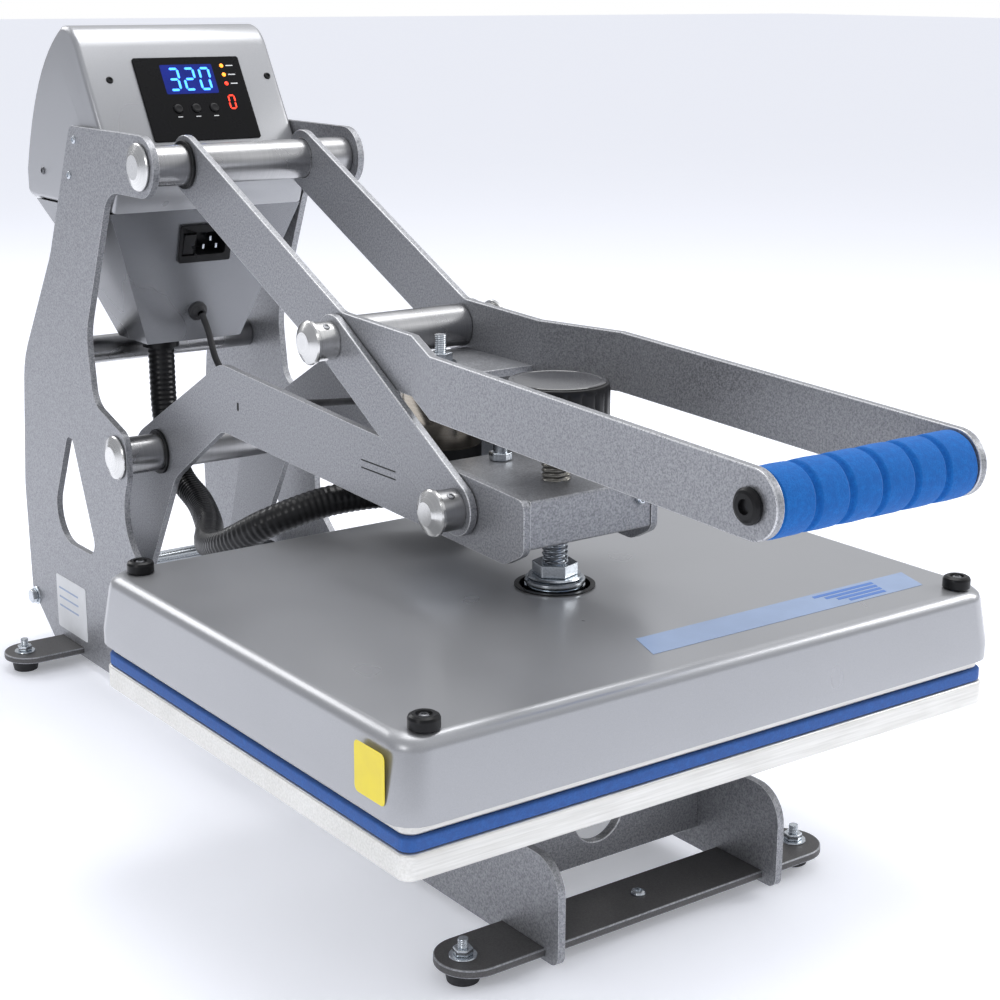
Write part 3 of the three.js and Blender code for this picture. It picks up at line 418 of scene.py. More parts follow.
PLASTIC = Finish(
    "Black moulded plastic", "black_plastic", (0.006, 0.006, 0.0065), (0.01, 0.01, 0.011),
    Grain.MOULDED, 0.7, 0.01, 0.34, 0.08, coat=0.04, specular=0.2)
KNOB_FACE = Finish(
    "Polished knob face", "black_plastic", (0.045, 0.045, 0.05), (0.03, 0.03, 0.034),
    Grain.TURNED, 1.2, 0.003, 0.14, 0.04, coat=0.6)
FILM = Finish(
    "Black display film", "dark_panel", (0.003, 0.003, 0.0035), (0.005, 0.005, 0.006),
    Grain.MOULDED, 1.5, 0.001, 0.28, 0.04, specular=0.12)
MAGNET = Finish(
    "Bright magnet shell", "magnet_steel", (0.52, 0.47, 0.40), (0.36, 0.32, 0.26),
    Grain.TURNED, 1.0, 0.008, 0.2, 0.06, metallic=1.0)
SPRING = Finish(
    "Oiled spring steel", "spring_steel", (0.22, 0.225, 0.235), (0.13, 0.13, 0.14),
    Grain.FLAKE, 0.9, 0.01, 0.33, 0.08, metallic=1.0)
BOARD = Finish(
    "Green solder mask", "circuit_board", (0.012, 0.10, 0.035), (0.01, 0.075, 0.028),
    Grain.FLAKE, 2.0, 0.01, 0.4, 0.08, coat=0.3)
# Near black: the magnet's dark band, and painted shade in the tab gaps and the small slot.
DARK_BAND_AND_GAP_SHADE = Finish(
    "Dark recess", "black_plastic", (0.006, 0.006, 0.007), (0.01, 0.01, 0.011),
    Grain.MOULDED, 1.0, 0.02, 0.7, 0.1)
# Darker hammertone for the foot bars: painted shade and reflection from the platen above; their
# rounded edges keep the plain hammertone as a painted highlight.
BAR_PAINTED_SHADE = Finish(
    "Shaded bar paint", "hammertone", (0.13, 0.127, 0.127), (0.085, 0.083, 0.083),
    Grain.SPECKLE, 0.8, 0.035, 0.45, 0.07, metallic=0.5, edge=HAMMERTONE)
BLUE_GLOW = Finish(
    "Blue digits", "dark_panel", (0.05, 0.28, 1.0), (0.04, 0.24, 0.9),
    Grain.MOULDED, 2.0, 0.001, 0.4, 0.05, glow=2.6)
# Dark blue window round the digits; its faint glow is painted light spilled from the digits.
BLUE_HALO = Finish(
    "Digit window", "dark_panel", (0.004, 0.012, 0.16), (0.003, 0.01, 0.12),
    Grain.MOULDED, 3.0, 0.001, 0.3, 0.04, glow=0.6, specular=0.15)
AMBER_GLOW = Finish(
    "Amber lamp", "dark_panel", (1.0, 0.28, 0.02), (0.9, 0.22, 0.015),
    Grain.MOULDED, 2.0, 0.001, 0.4, 0.05, glow=2.4)
RED_GLOW = Finish(
    "Red lamp", "dark_panel", (0.95, 0.035, 0.01), (0.85, 0.03, 0.01),
    Grain.MOULDED, 2.0, 0.001, 0.4, 0.05, glow=2.0)
PRINT_WHITE = Finish(
    "White print", "satin_silver", (0.74, 0.75, 0.76), (0.68, 0.69, 0.70),
    Grain.MOULDED, 2.0, 0.004, 0.45, 0.05)
PRINT_YELLOW = Finish(
    "Yellow sticker", "satin_silver", (0.88, 0.71, 0.012), (0.83, 0.66, 0.012),
    Grain.MOULDED, 2.0, 0.004, 0.38, 0.05, coat=0.2)
PRINT_BLUE = Finish(
    "Blue print", "satin_silver", (0.05, 0.17, 0.52), (0.045, 0.15, 0.47),
    Grain.MOULDED, 2.0, 0.004, 0.35, 0.05, coat=0.2)
PRINT_PALE = Finish(
    "Pale blue print", "satin_silver", (0.27, 0.36, 0.54), (0.245, 0.33, 0.5),
    Grain.MOULDED, 2.0, 0.004, 0.35, 0.05, coat=0.2)


# ------------------------------------------------------------------ places
def mirrored(profile: Sequence[Pair]) -> list[Pair]:
    """A turned end's profile, repeated at the other end of its axis."""
    return [(radius, -height) for radius, height in reversed(profile)]


def centre(node: str) -> Vector:
    """Middle of a CAD node's box at rest."""
    low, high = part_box(node)
    return (low + high) / 2


def footing(node: str) -> tuple[Vector, float, float]:
    """Place and sizes of a round CAD node that stands upright.

    Args:
        node: The CAD node.

    Returns:
        Middle of its lower face in metres, and its radius and height in millimetres.
    """
    low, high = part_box(node)
    at = Vector(((low.x + high.x) / 2, (low.y + high.y) / 2, low.z))
    return at, (high.x - low.x) / 2 / MM, (high.z - low.z) / MM


def half_width(node: str) -> float:
    """Half of a CAD node's size along X, in millimetres."""
    low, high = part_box(node)
    return (high.x - low.x) / 2 / MM


def side_x(node: str, sign: int) -> float:
    """Highest X of a CAD node where the sign is 1, and its lowest where it is -1."""
    low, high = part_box(node)
    return high.x if sign > 0 else low.x


def outward(sign: int) -> Axis:
    """Direction away from the middle on the right, 1, or on the left, -1."""
    return Axis.X if sign > 0 else Axis.MINUS_X


# ------------------------------------------------------------------ mesh helpers
def new_object(name: str, points: Sequence, faces: Sequence,
               crease: float = SHARP_ANGLE) -> bpy.types.Object:
    """Makes a mesh object with smooth shading that breaks at sharp edges.

    Args:
        name: Name of the piece.
        points: Corner points, in metres.
        faces: Corner indices of each face.
        crease: Least angle of a sharp edge, in degrees.

    Returns:
        The new object.
    """
    mesh = bpy.data.meshes.new(name)
    mesh.from_pydata([tuple(p) for p in points], [], [tuple(f) for f in faces])
    mesh.update()
    mesh.shade_smooth()
    mesh.set_sharp_from_angle(angle=math.radians(crease))
    obj = bpy.data.objects.new(name, mesh)
    bpy.context.scene.collection.objects.link(obj)
    return obj


def soften(obj: bpy.types.Object, width: float, segments: int = 2) -> bpy.types.Object:
    """Rounds the hard edges of a piece.

    Args:
        obj: Piece to round.
        width: Width of the rounding, in millimetres.
        segments: Facets across the rounding.

    Returns:
        The same object.
    """
    attribute = obj.data.attributes.get("sharp_edge")
    if attribute is not None:
        obj.data.attributes.remove(attribute)
    bevel = obj.modifiers.new("Rounded edges", "BEVEL")
    bevel.width = width * MM
    bevel.segments = segments
    bevel.limit_method = "ANGLE"
    bevel.angle_limit = math.radians(SHARP_ANGLE)
    bevel.use_clamp_overlap = True
    normals = obj.modifiers.new("Flat faces", "WEIGHTED_NORMAL")
    normals.weight = 80
    return obj


def dress(obj: bpy.types.Object, finish: Finish, body: str, *nodes: str) -> bpy.types.Object:
    """Gives a piece its finish and ties it to its body and to the CAD nodes it stands for.

    Args:
        obj: Piece to dress.
        finish: Its surface finish.
        body: CAD body that it moves with.
        *nodes: CAD nodes that it stands for.

    Returns:
        The same object.
    """
    obj.data.materials.append(finish.material())
    # The rounded edges take the finish's lighter edge finish: a painted highlight.
    bevel = obj.modifiers.get("Rounded edges")
    if bevel is not None and finish.edge is not None:
        obj.data.materials.append(finish.edge.material())
        bevel.material = 1
    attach(obj, body)
    if nodes:
        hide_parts(*nodes)
    return obj


def repaint(node: str, finish: Finish) -> None:
    """Gives a CAD node that stays in view a finish.

    Args:
        node: CAD node to paint.
        finish: Its surface finish.
    """
    materials = frame["nodes"][node].data.materials
    materials.clear()
    materials.append(finish.material())


def likeness(node: str, name: str, width: float, segments: int = 2) -> bpy.types.Object:
    """Copies a CAD node's solid, with clean flat faces and rounded edges.

    Args:
        node: CAD node to copy.
        name: Name of the new piece.
        width: Width of the rounding, in millimetres.
        segments: Facets across the rounding.

    Returns:
        The new object.
    """
    source = frame["nodes"][node].data
    work = bmesh.new()
    corners = [work.verts.new(v.co) for v in source.vertices]
    for facet in source.polygons:
        try:
            work.faces.new([corners[i] for i in facet.vertices])
        except ValueError:
            continue
    bmesh.ops.remove_doubles(work, verts=work.verts, dist=WELD * MM)
    bmesh.ops.dissolve_limit(work, angle_limit=math.radians(FLAT_ANGLE), verts=work.verts,
                             edges=work.edges)
    work.verts.index_update()
    points = [v.co.copy() for v in work.verts]
    faces = [[v.index for v in f.verts] for f in work.faces]
    work.free()
    return soften(new_object(name, points, faces), width, segments)


def stand_in(node: str, name: str, width: float, finish: Finish, body: str,
             segments: int = 2) -> bpy.types.Object:
    """Puts a rounded and dressed likeness in the place of a CAD node.

    Args:
        node: CAD node that it stands for.
        name: Name of the new piece.
        width: Width of the rounding, in millimetres.
        finish: Its surface finish.
        body: CAD body that it moves with.
        segments: Facets across the rounding.

    Returns:
        The new object.
    """
    return dress(likeness(node, name, width, segments), finish, body, node)


def turn(name: str, profile: Sequence[Pair], at: Vector, axis: Axis = Axis.Z, segments: int = 64,
         closed: bool = False) -> bpy.types.Object:
    """Makes a turned piece about its own axis.

    Args:
        name: Name of the piece.
        profile: Radius and height of each point, in millimetres, from low to high outside.
        at: Place of the profile's zero point, in metres.
        axis: Direction of the axis.
        segments: Facets round the axis.
        closed: Whether the profile is a ring that never meets the axis.

    Returns:
        The new object.
    """
    points: list[Vector] = []
    rings: list[list[int]] = []
    for radius, height in profile:
        if radius < 1e-6:
            rings.append([len(points)])
            points.append(Vector((0, 0, height * MM)))
            continue
        rings.append(list(range(len(points), len(points) + segments)))
        for step in range(segments):
            angle = 2 * math.pi * step / segments
            points.append(Vector((radius * math.cos(angle), radius * math.sin(angle), height)) * MM)
    pairs = list(zip(rings, rings[1:]))
    if closed:
        pairs.append((rings[-1], rings[0]))
    faces: list[tuple[int, ...]] = []
    for low, high in pairs:
        for step in range(segments):
            after = (step + 1) % segments
            if len(low) == 1 and len(high) > 1:
                faces.append((low[0], high[after], high[step]))
            elif len(high) == 1 and len(low) > 1:
                faces.append((low[step], low[after], high[0]))
            elif len(low) > 1:
                faces.append((low[step], low[after], high[after], high[step]))
    obj = new_object(name, points, faces, TURNED_SHARP_ANGLE)
    obj.matrix_world = Matrix.Translation(at) @ axis.matrix()
    return obj


def prism(name: str, outline: Sequence[Pair], depth: float, place: Matrix,
          width: float = 0.3) -> bpy.types.Object:
    """Extrudes an outline along its own Z axis.

    Args:
        name: Name of the piece.
        outline: Corners in order, in millimetres.
        depth: Thickness, in millimetres.
        place: Where the outline's own frame lies.
        width: Rounding of the edges, in millimetres.

    Returns:
        The new object.
    """
    count = len(outline)
    points = [Vector((a, b, level)) * MM for level in (0, depth) for a, b in outline]
    faces: list[tuple[int, ...]] = [tuple(reversed(range(count))), tuple(range(count, 2 * count))]
    for i in range(count):
        j = (i + 1) % count
        faces.append((i, j, j + count, i + count))
    obj = new_object(name, points, faces)
    obj.matrix_world = place
    return soften(obj, width)


def rounded(half_a: float, half_b: float, radius: float, steps: int = 6) -> list[Pair]:
    """Corners of a rounded rectangle about the origin, in millimetres.

    Args:
        half_a: Half its first side.
        half_b: Half its second side.
        radius: Radius of its corners.
        steps: Facets round each corner.

    Returns:
        The corners, anticlockwise.
    """
    outline = []
    for quarter, (sa, sb) in enumerate(((1, 1), (-1, 1), (-1, -1), (1, -1))):
        for step in range(steps + 1):
            angle = math.pi / 2 * (quarter + step / steps)
            a = sa * (half_a - radius) + radius * math.cos(angle)
            outline.append((a, sb * (half_b - radius) + radius * math.sin(angle)))
    return outline


def polygon(sides: int, radius: float, start: float = 0.0) -> list[Pair]:
    """Corners of a regular polygon about the origin, in millimetres.

    Args:
        sides: Number of sides.
        radius: Radius over the corners.
        start: Angle of the first corner, in radians.

    Returns:
        The corners, anticlockwise.
    """
    angles = (start + 2 * math.pi * step / sides for step in range(sides))
    return [(radius * math.cos(angle), radius * math.sin(angle)) for angle in angles]


def basis(origin: Vector, across: Vector, up: Vector) -> Matrix:
    """Frame whose local X, Y and Z axes are across, up and their normal.

    Args:
        origin: Its origin.
        across: Its X axis.
        up: Its Y axis.

    Returns:
        The frame's matrix.
    """
    out = across.cross(up)
    rows = Matrix((across, up, out)).transposed().to_4x4()
    return Matrix.Translation(origin) @ rows


def smooth_route(points: Sequence[Vector], per_span: int) -> list[Vector]:
    """Centripetal curve through given points.

    Args:
        points: Points that the curve passes through.
        per_span: Steps between two of them.

    Returns:
        Points along the curve.
    """
    padded = [points[0] * 2 - points[1], *points, points[-1] * 2 - points[-2]]
    route: list[Vector] = []
    for i in range(1, len(padded) - 2):
        p0, p1, p2, p3 = padded[i - 1:i + 3]
        t1 = math.sqrt((p1 - p0).length)
        t2 = t1 + math.sqrt((p2 - p1).length)
        t3 = t2 + math.sqrt((p3 - p2).length)
        for step in range(per_span):
            t = t1 + (t2 - t1) * step / per_span
            a1 = p0.lerp(p1, t / t1)
            a2 = p1.lerp(p2, (t - t1) / (t2 - t1))
            a3 = p2.lerp(p3, (t - t2) / (t3 - t2))
            b1 = a1.lerp(a2, t / t2)
            b2 = a2.lerp(a3, (t - t1) / (t3 - t1))
            route.append(b1.lerp(b2, (t - t1) / (t2 - t1)))
    return [*route, points[-1].copy()]


def evenly(route: Sequence[Vector], step: float) -> list[Vector]:
    """Points a fixed distance apart along a polyline, ends included.

    Args:
        route: The polyline.
        step: Wanted distance, which is rounded to fit a whole number of times.

    Returns:
        The points.
    """
    lengths = [0.0]
    for a, b in zip(route, route[1:]):
        lengths.append(lengths[-1] + (b - a).length)
    count = max(2, round(lengths[-1] / step))
    points, span = [], 0
    for i in range(count + 1):
        target = lengths[-1] * i / count
        while span < len(route) - 2 and lengths[span + 1] < target:
            span += 1
        share = (target - lengths[span]) / (lengths[span + 1] - lengths[span])
        points.append(route[span].lerp(route[span + 1], min(1.0, share)))
    return points


def tube(name: str, route: Sequence[Vector], radius: Callable[[float, float], float],
         sides: int) -> bpy.types.Object:
    """Sweeps a section along a route.

    Args:
        name: Name of the piece.
        route: Points of the centre line, in metres.
        radius: Radius in metres at a distance along the route and an angle round it.
        sides: Facets round the section.

    Returns:
        The new object.
    """
    points: list[Vector] = []
    faces: list[tuple[int, ...]] = []
    along = (route[1] - route[0]).normalized()
    side = along.orthogonal().normalized()
    travelled = 0.0
    for index, spot in enumerate(route):
        nearby = route[min(index + 1, len(route) - 1)] - route[max(index - 1, 0)]
        along = nearby.normalized()
        side = (side - along * side.dot(along)).normalized()
        up = along.cross(side)
        if index:
            travelled += (spot - route[index - 1]).length
        for step in range(sides):
            angle = 2 * math.pi * step / sides
            reach = radius(travelled, angle)
            points.append(spot + side * (reach * math.cos(angle)) + up * (reach * math.sin(angle)))
    for ring in range(len(route) - 1):
        for step in range(sides):
            after = (step + 1) % sides
            a, b = ring * sides + step, ring * sides + after
            faces.append((a, b, b + sides, a + sides))
    last = (len(route) - 1) * sides
    faces.append(tuple(reversed(range(sides))))
    faces.append(tuple(range(last, last + sides)))
    return new_object(name, points, faces)


def hex_nut(name: str, radius: float, height: float, at: Vector,
            axis: Axis = Axis.Z) -> bpy.types.Object:
    """Makes a hexagon nut or bolt head with chamfered corners.

    Args:
        name: Name of the piece.
        radius: Radius over the corners, in millimetres.
        height: Height, in millimetres.
        at: Middle of its lower face.
        axis: Direction that it faces.

    Returns:
        The new object.
    """
    place = Matrix.Translation(at) @ axis.matrix()
    return prism(name, polygon(6, radius, 0.3), height, place, min(0.9, height * 0.2))


def screw_head(name: str, radius: float, height: float, at: Vector,
               axis: Axis = Axis.Z) -> bpy.types.Object:
    """Makes a round screw head with a round socket.

    Args:
        name: Name of the piece.
        radius: Outer radius, in millimetres.
        height: Height, in millimetres.
        at: Middle of its lower face.
        axis: Direction that it faces.

    Returns:
        The new object.
    """
    socket = radius * 0.5
    crown = [(radius, 0), (radius, height * 0.4), (radius * 0.88, height * 0.82),
             (radius * 0.66, height)]
    profile = [(0, 0), *crown, (socket, height), (socket * 0.94, height * 0.45), (0, height * 0.45)]
    return turn(name, profile, at, axis, 24)


def washer(name: str, sizes: tuple[float, float, float, float], at: Vector, axis: Axis = Axis.Z,
           segments: int = 48) -> bpy.types.Object:
    """Makes a washer with a rounded rim.

    Args:
        name: Name of the piece.
        sizes: Radius of its faces, radius and height of its rim, and its thickness, in millimetres.
        at: Middle of its lower face.
        axis: Direction that it faces.
        segments: Facets round the axis.

    Returns:
        The new object.
    """
    face, rim, rim_height, thickness = sizes
    profile = [(0, 0), (face, 0), (rim, rim_height), (face, thickness), (0, thickness)]
    return turn(name, profile, at, axis, segments)


def threaded(name: str, radius: float, pitch: float, depth: float, length: float,
             at: Vector) -> bpy.types.Object:
    """Makes an upright threaded rod.

    Args:
        name: Name of the piece.
        radius: Outer radius, in millimetres.
        pitch: Rise of one turn, in millimetres.
        depth: Depth of the thread, in millimetres.
        length: Length, in millimetres.
        at: Middle of its lower end, in metres.

    Returns:
        The new object.
    """
    steps = max(8, round(length / pitch * 6))
    line = [Vector((0, 0, length * MM * i / steps)) for i in range(steps + 1)]

    def reach(distance: float, angle: float) -> float:
        """Radius of the thread at a height and an angle."""
        turns = distance / (pitch * MM) - angle / (2 * math.pi)
        return (radius - depth * (0.5 + 0.5 * math.cos(2 * math.pi * turns))) * MM

    rod = tube(name, line, reach, 24)
    rod.data.shade_smooth()
    rod.matrix_world = Matrix.Translation(at)
    return rod


# ------------------------------------------------------------------ studio
@dataclass
class Studio:
    """Pale floor, soft lights and the camera."""

    eye: Triple = (-0.8105, -1.24715, 0.6419)
    azimuth: float = -36.25
    pitch: float = 15.18
    roll: float = 0.296
    lens: float = 68.77
    floor_half: float = 30.0
    softboxes: Sequence[tuple[str, Triple, Triple, float, float]] = (
        ("Overhead softbox", (0.5, 0.3, 2.4), (0, 0, 0.1), 1.5, 26),
        ("Right softbox", (2.4, -1.2, 1.5), (0, 0.1, 0.25), 1.2, 26),
        ("Left softbox", (-2.2, -0.9, 1.5), (0, 0.1, 0.25), 0.9, 9),
        ("Rear softbox", (-0.6, 2.6, 1.9), (0, 0.1, 0.3), 1.4, 18),
    )

    def build(self) -> None:
        """Makes the camera, the floor and the lights."""
        self.place_camera()
        self.lay_floor()
        for softbox in self.softboxes:
            self.hang_light(*softbox)
        self.paint_room()
        bpy.context.scene.view_settings.view_transform = "Standard"

    def paint_room(self) -> None:
        """Makes the room: white behind the machine, and shaded towards the sides in reflections."""
        world = bpy.data.worlds.new("Pale room")
        bpy.context.scene.world = world
        world.use_nodes = True
        graph = Graph(world.node_tree)
        direction = graph.node("ShaderNodeTexCoord").outputs["Generated"]
        split = graph.node("ShaderNodeSeparateXYZ", {0: direction})
        height = graph.ramp(split.outputs[2], -0.05, 0.75)
        shaded = graph.mix(height, (0.34, 0.35, 0.37), (1.0, 1.01, 1.04))
        side = graph.ramp(split.outputs[0], -0.9, 0.7)
        shaded = graph.mix(side, (0.42, 0.43, 0.46), shaded)
        seen = graph.node("ShaderNodeLightPath").outputs["Is Camera Ray"]
        colour = graph.mix(seen, shaded, (1.0, 1.0, 1.0))
        background = world.node_tree.nodes["Background"]
        world.node_tree.links.new(colour, background.inputs["Color"])
        background.inputs["Strength"].default_value = 1.0

    def place_camera(self) -> None:
        """Makes the camera and turns it along its line of sight."""
        data = bpy.data.cameras.new("Camera")
        data.lens = self.lens
        data.sensor_width = 36.0
        data.clip_end = 50.0
        camera = bpy.data.objects.new("Camera", data)
        bpy.context.scene.collection.objects.link(camera)
        a, e, r = (math.radians(v) for v in (self.azimuth, self.pitch, self.roll))
        back = Vector((math.sin(a) * math.cos(e), -math.cos(a) * math.cos(e), math.sin(e)))
        level = Vector((math.cos(a), math.sin(a), 0))
        upright = back.cross(level)
        right = level * math.cos(r) + upright * math.sin(r)
        up = upright * math.cos(r) - level * math.sin(r)
        rows = Matrix((right, up, back)).transposed().to_4x4()
        camera.matrix_world = Matrix.Translation(Vector(self.eye)) @ rows
        bpy.context.scene.camera = camera

    def lay_floor(self) -> None:
        """Makes the pale floor."""
        half = self.floor_half
        corners = [(-half, -half, 0), (half, -half, 0), (half, half, 0), (-half, half, 0)]
        floor = new_object("Studio_floor", corners, [(0, 1, 2, 3)])
        material = bpy.data.materials.new("Pale floor")
        material.use_nodes = True
        graph = Graph(material.node_tree)
        coordinates = graph.node("ShaderNodeTexCoord").outputs["Object"]
        colour = graph.mix(graph.noise(coordinates, 3.0), (0.87, 0.885, 0.94), (0.89, 0.9, 0.95))
        shader = material.node_tree.nodes["Principled BSDF"]
        material.node_tree.links.new(colour, shader.inputs["Base Color"])
        shader.inputs["Roughness"].default_value = 0.9
        shader.inputs["Specular IOR Level"].default_value = 0.08
        shader.inputs["Emission Color"].default_value = (0.93, 0.95, 1.0, 1.0)
        shader.inputs["Emission Strength"].default_value = 0.24
        floor.data.materials.append(material)

    def hang_light(self, name: str, at: Triple, target: Triple, size: float, power: float) -> None:
        """Hangs one softbox.

        Args:
            name: Name of the light.
            at: Its place.
            target: Point that it faces.
            size: Side of the square box, in metres.
            power: Power in watts.
        """
        data = bpy.data.lights.new(name, "AREA")
        data.shape = "SQUARE"
        data.size = size
        data.energy = power
        light = bpy.data.objects.new(name, data)
        bpy.context.scene.collection.objects.link(light)
        light.location = at
        light.rotation_euler = (Vector(target) - Vector(at)).to_track_quat("-Z", "Y").to_euler()


# ------------------------------------------------------------------ cords
@dataclass
class Cords:
    """Woven heater conduit and thin magnet cable, both held by the machine at each end."""

    conduit_radius: float = 12.5
    rib_pitch: float = 5.0
    rib_depth: float = 0.9
    strands: int = 8
    weave_pitch: float = 10.0
    weave_depth: float = 0.35
    cable_radius: float = 3.0
    conduit_route: Sequence[Triple] = (
        (-0.020, 0.566, 0.317), (-0.020, 0.566, 0.296), (-0.023, 0.556, 0.240),
        (-0.031, 0.516, 0.198),
        (-0.039, 0.462, 0.184), (-0.062, 0.400, 0.180), (-0.098, 0.330, 0.186),
        (-0.110, 0.274, 0.202),
        (-0.094, 0.234, 0.226), (-0.054, 0.214, 0.241), (-0.006, 0.198, 0.245),
        (0.036, 0.178, 0.243),
        (0.057, 0.165, 0.231), (0.059, 0.163, 0.214),
    )
    cable_route: Sequence[Triple] = (
        (0, 0.519, 0.344), (0, 0.508, 0.330), (0, 0.494, 0.305), (0, 0.462, 0.286),
        (0, 0.400, 0.283),
        (0, 0.320, 0.296), (0, 0.240, 0.312), (0, 0.190, 0.319), (0, 0.1616, 0.320),
    )

    def build(self) -> None:
        """Makes both cords and the fittings at their ends."""
        self.make_conduit()
        self.make_cable()
        self.make_fittings()

    def line(self, route: Sequence[Triple], step: float) -> list[Vector]:
        """Even points along a route that is given about the lower platen's middle.

        Args:
            route: Points of the route, in metres.
            step: Distance between the points made.

        Returns:
            The points, in the shared frame.
        """
        shift = Vector((0, centre("lower_platen").y, 0))
        return evenly(smooth_route([Vector(p) + shift for p in route], 12), step)

    def make_conduit(self) -> None:
        """Makes the woven, ribbed conduit."""
        line = self.line(self.conduit_route, 0.9 * MM)

        def reach(distance: float, angle: float) -> float:
            """Gives the radius of the ribs and the weave.

            Args:
                distance: Metres along the conduit.
                angle: Radians round it.

            Returns:
                The radius in metres.
            """
            rib = 0.5 + 0.5 * math.cos(2 * math.pi * distance / (self.rib_pitch * MM))
            twist = 2 * math.pi * distance / (self.weave_pitch * MM)
            weave = math.cos(self.strands * angle + twist) * math.cos(self.strands * angle - twist)
            return (self.conduit_radius - self.rib_depth * rib + self.weave_depth * weave) * MM

        conduit = tube("conduit_sleeve", line, reach, 40)
        conduit.data.materials.append(BRAID.material())
        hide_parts("heater_conduit")
        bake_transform(conduit)

    def make_cable(self) -> None:
        """Makes the thin cable from the grommet to the magnet."""
        line = self.line(self.cable_route, 3 * MM)
        cable = tube("magnet_lead", line, lambda distance, angle: self.cable_radius * MM, 16)
        cable.data.materials.append(RUBBER.material())
        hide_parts("magnet_cable")
        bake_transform(cable)

    def make_fittings(self) -> None:
        """Makes the glands where the conduit enters the chassis and the cover."""
        shift = Vector((0, centre("lower_platen").y, 0))
        top = Vector(self.conduit_route[0]) + shift
        foot = Vector(self.conduit_route[-1]) + shift
        inner = self.conduit_radius + 0.6
        ring = [(inner, 0), (inner + 4, 0), (inner + 4, 5), (inner + 2.5, 6.5), (inner, 6.5)]
        gland = turn("conduit_gland_chassis", ring, Vector((top.x, top.y, top.z - 7 * MM)), Axis.Z,
                     48, closed=True)
        dress(gland, PLASTIC, "base")
        cover_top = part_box("platen_cover")[1].z
        seat = Vector((foot.x, foot.y, cover_top + 0.2 * MM))
        flange = [(inner + 1, 0), (inner + 8, 0), (inner + 8, 1.5), (inner + 5.5, 2.5),
                  (inner + 5.5, 7),
                  (inner + 4, 8.5), (inner + 1, 8.5)]
        dress(turn("conduit_gland_cover", flange, seat, Axis.Z, 48, closed=True), PLASTIC,
              "heat_head")


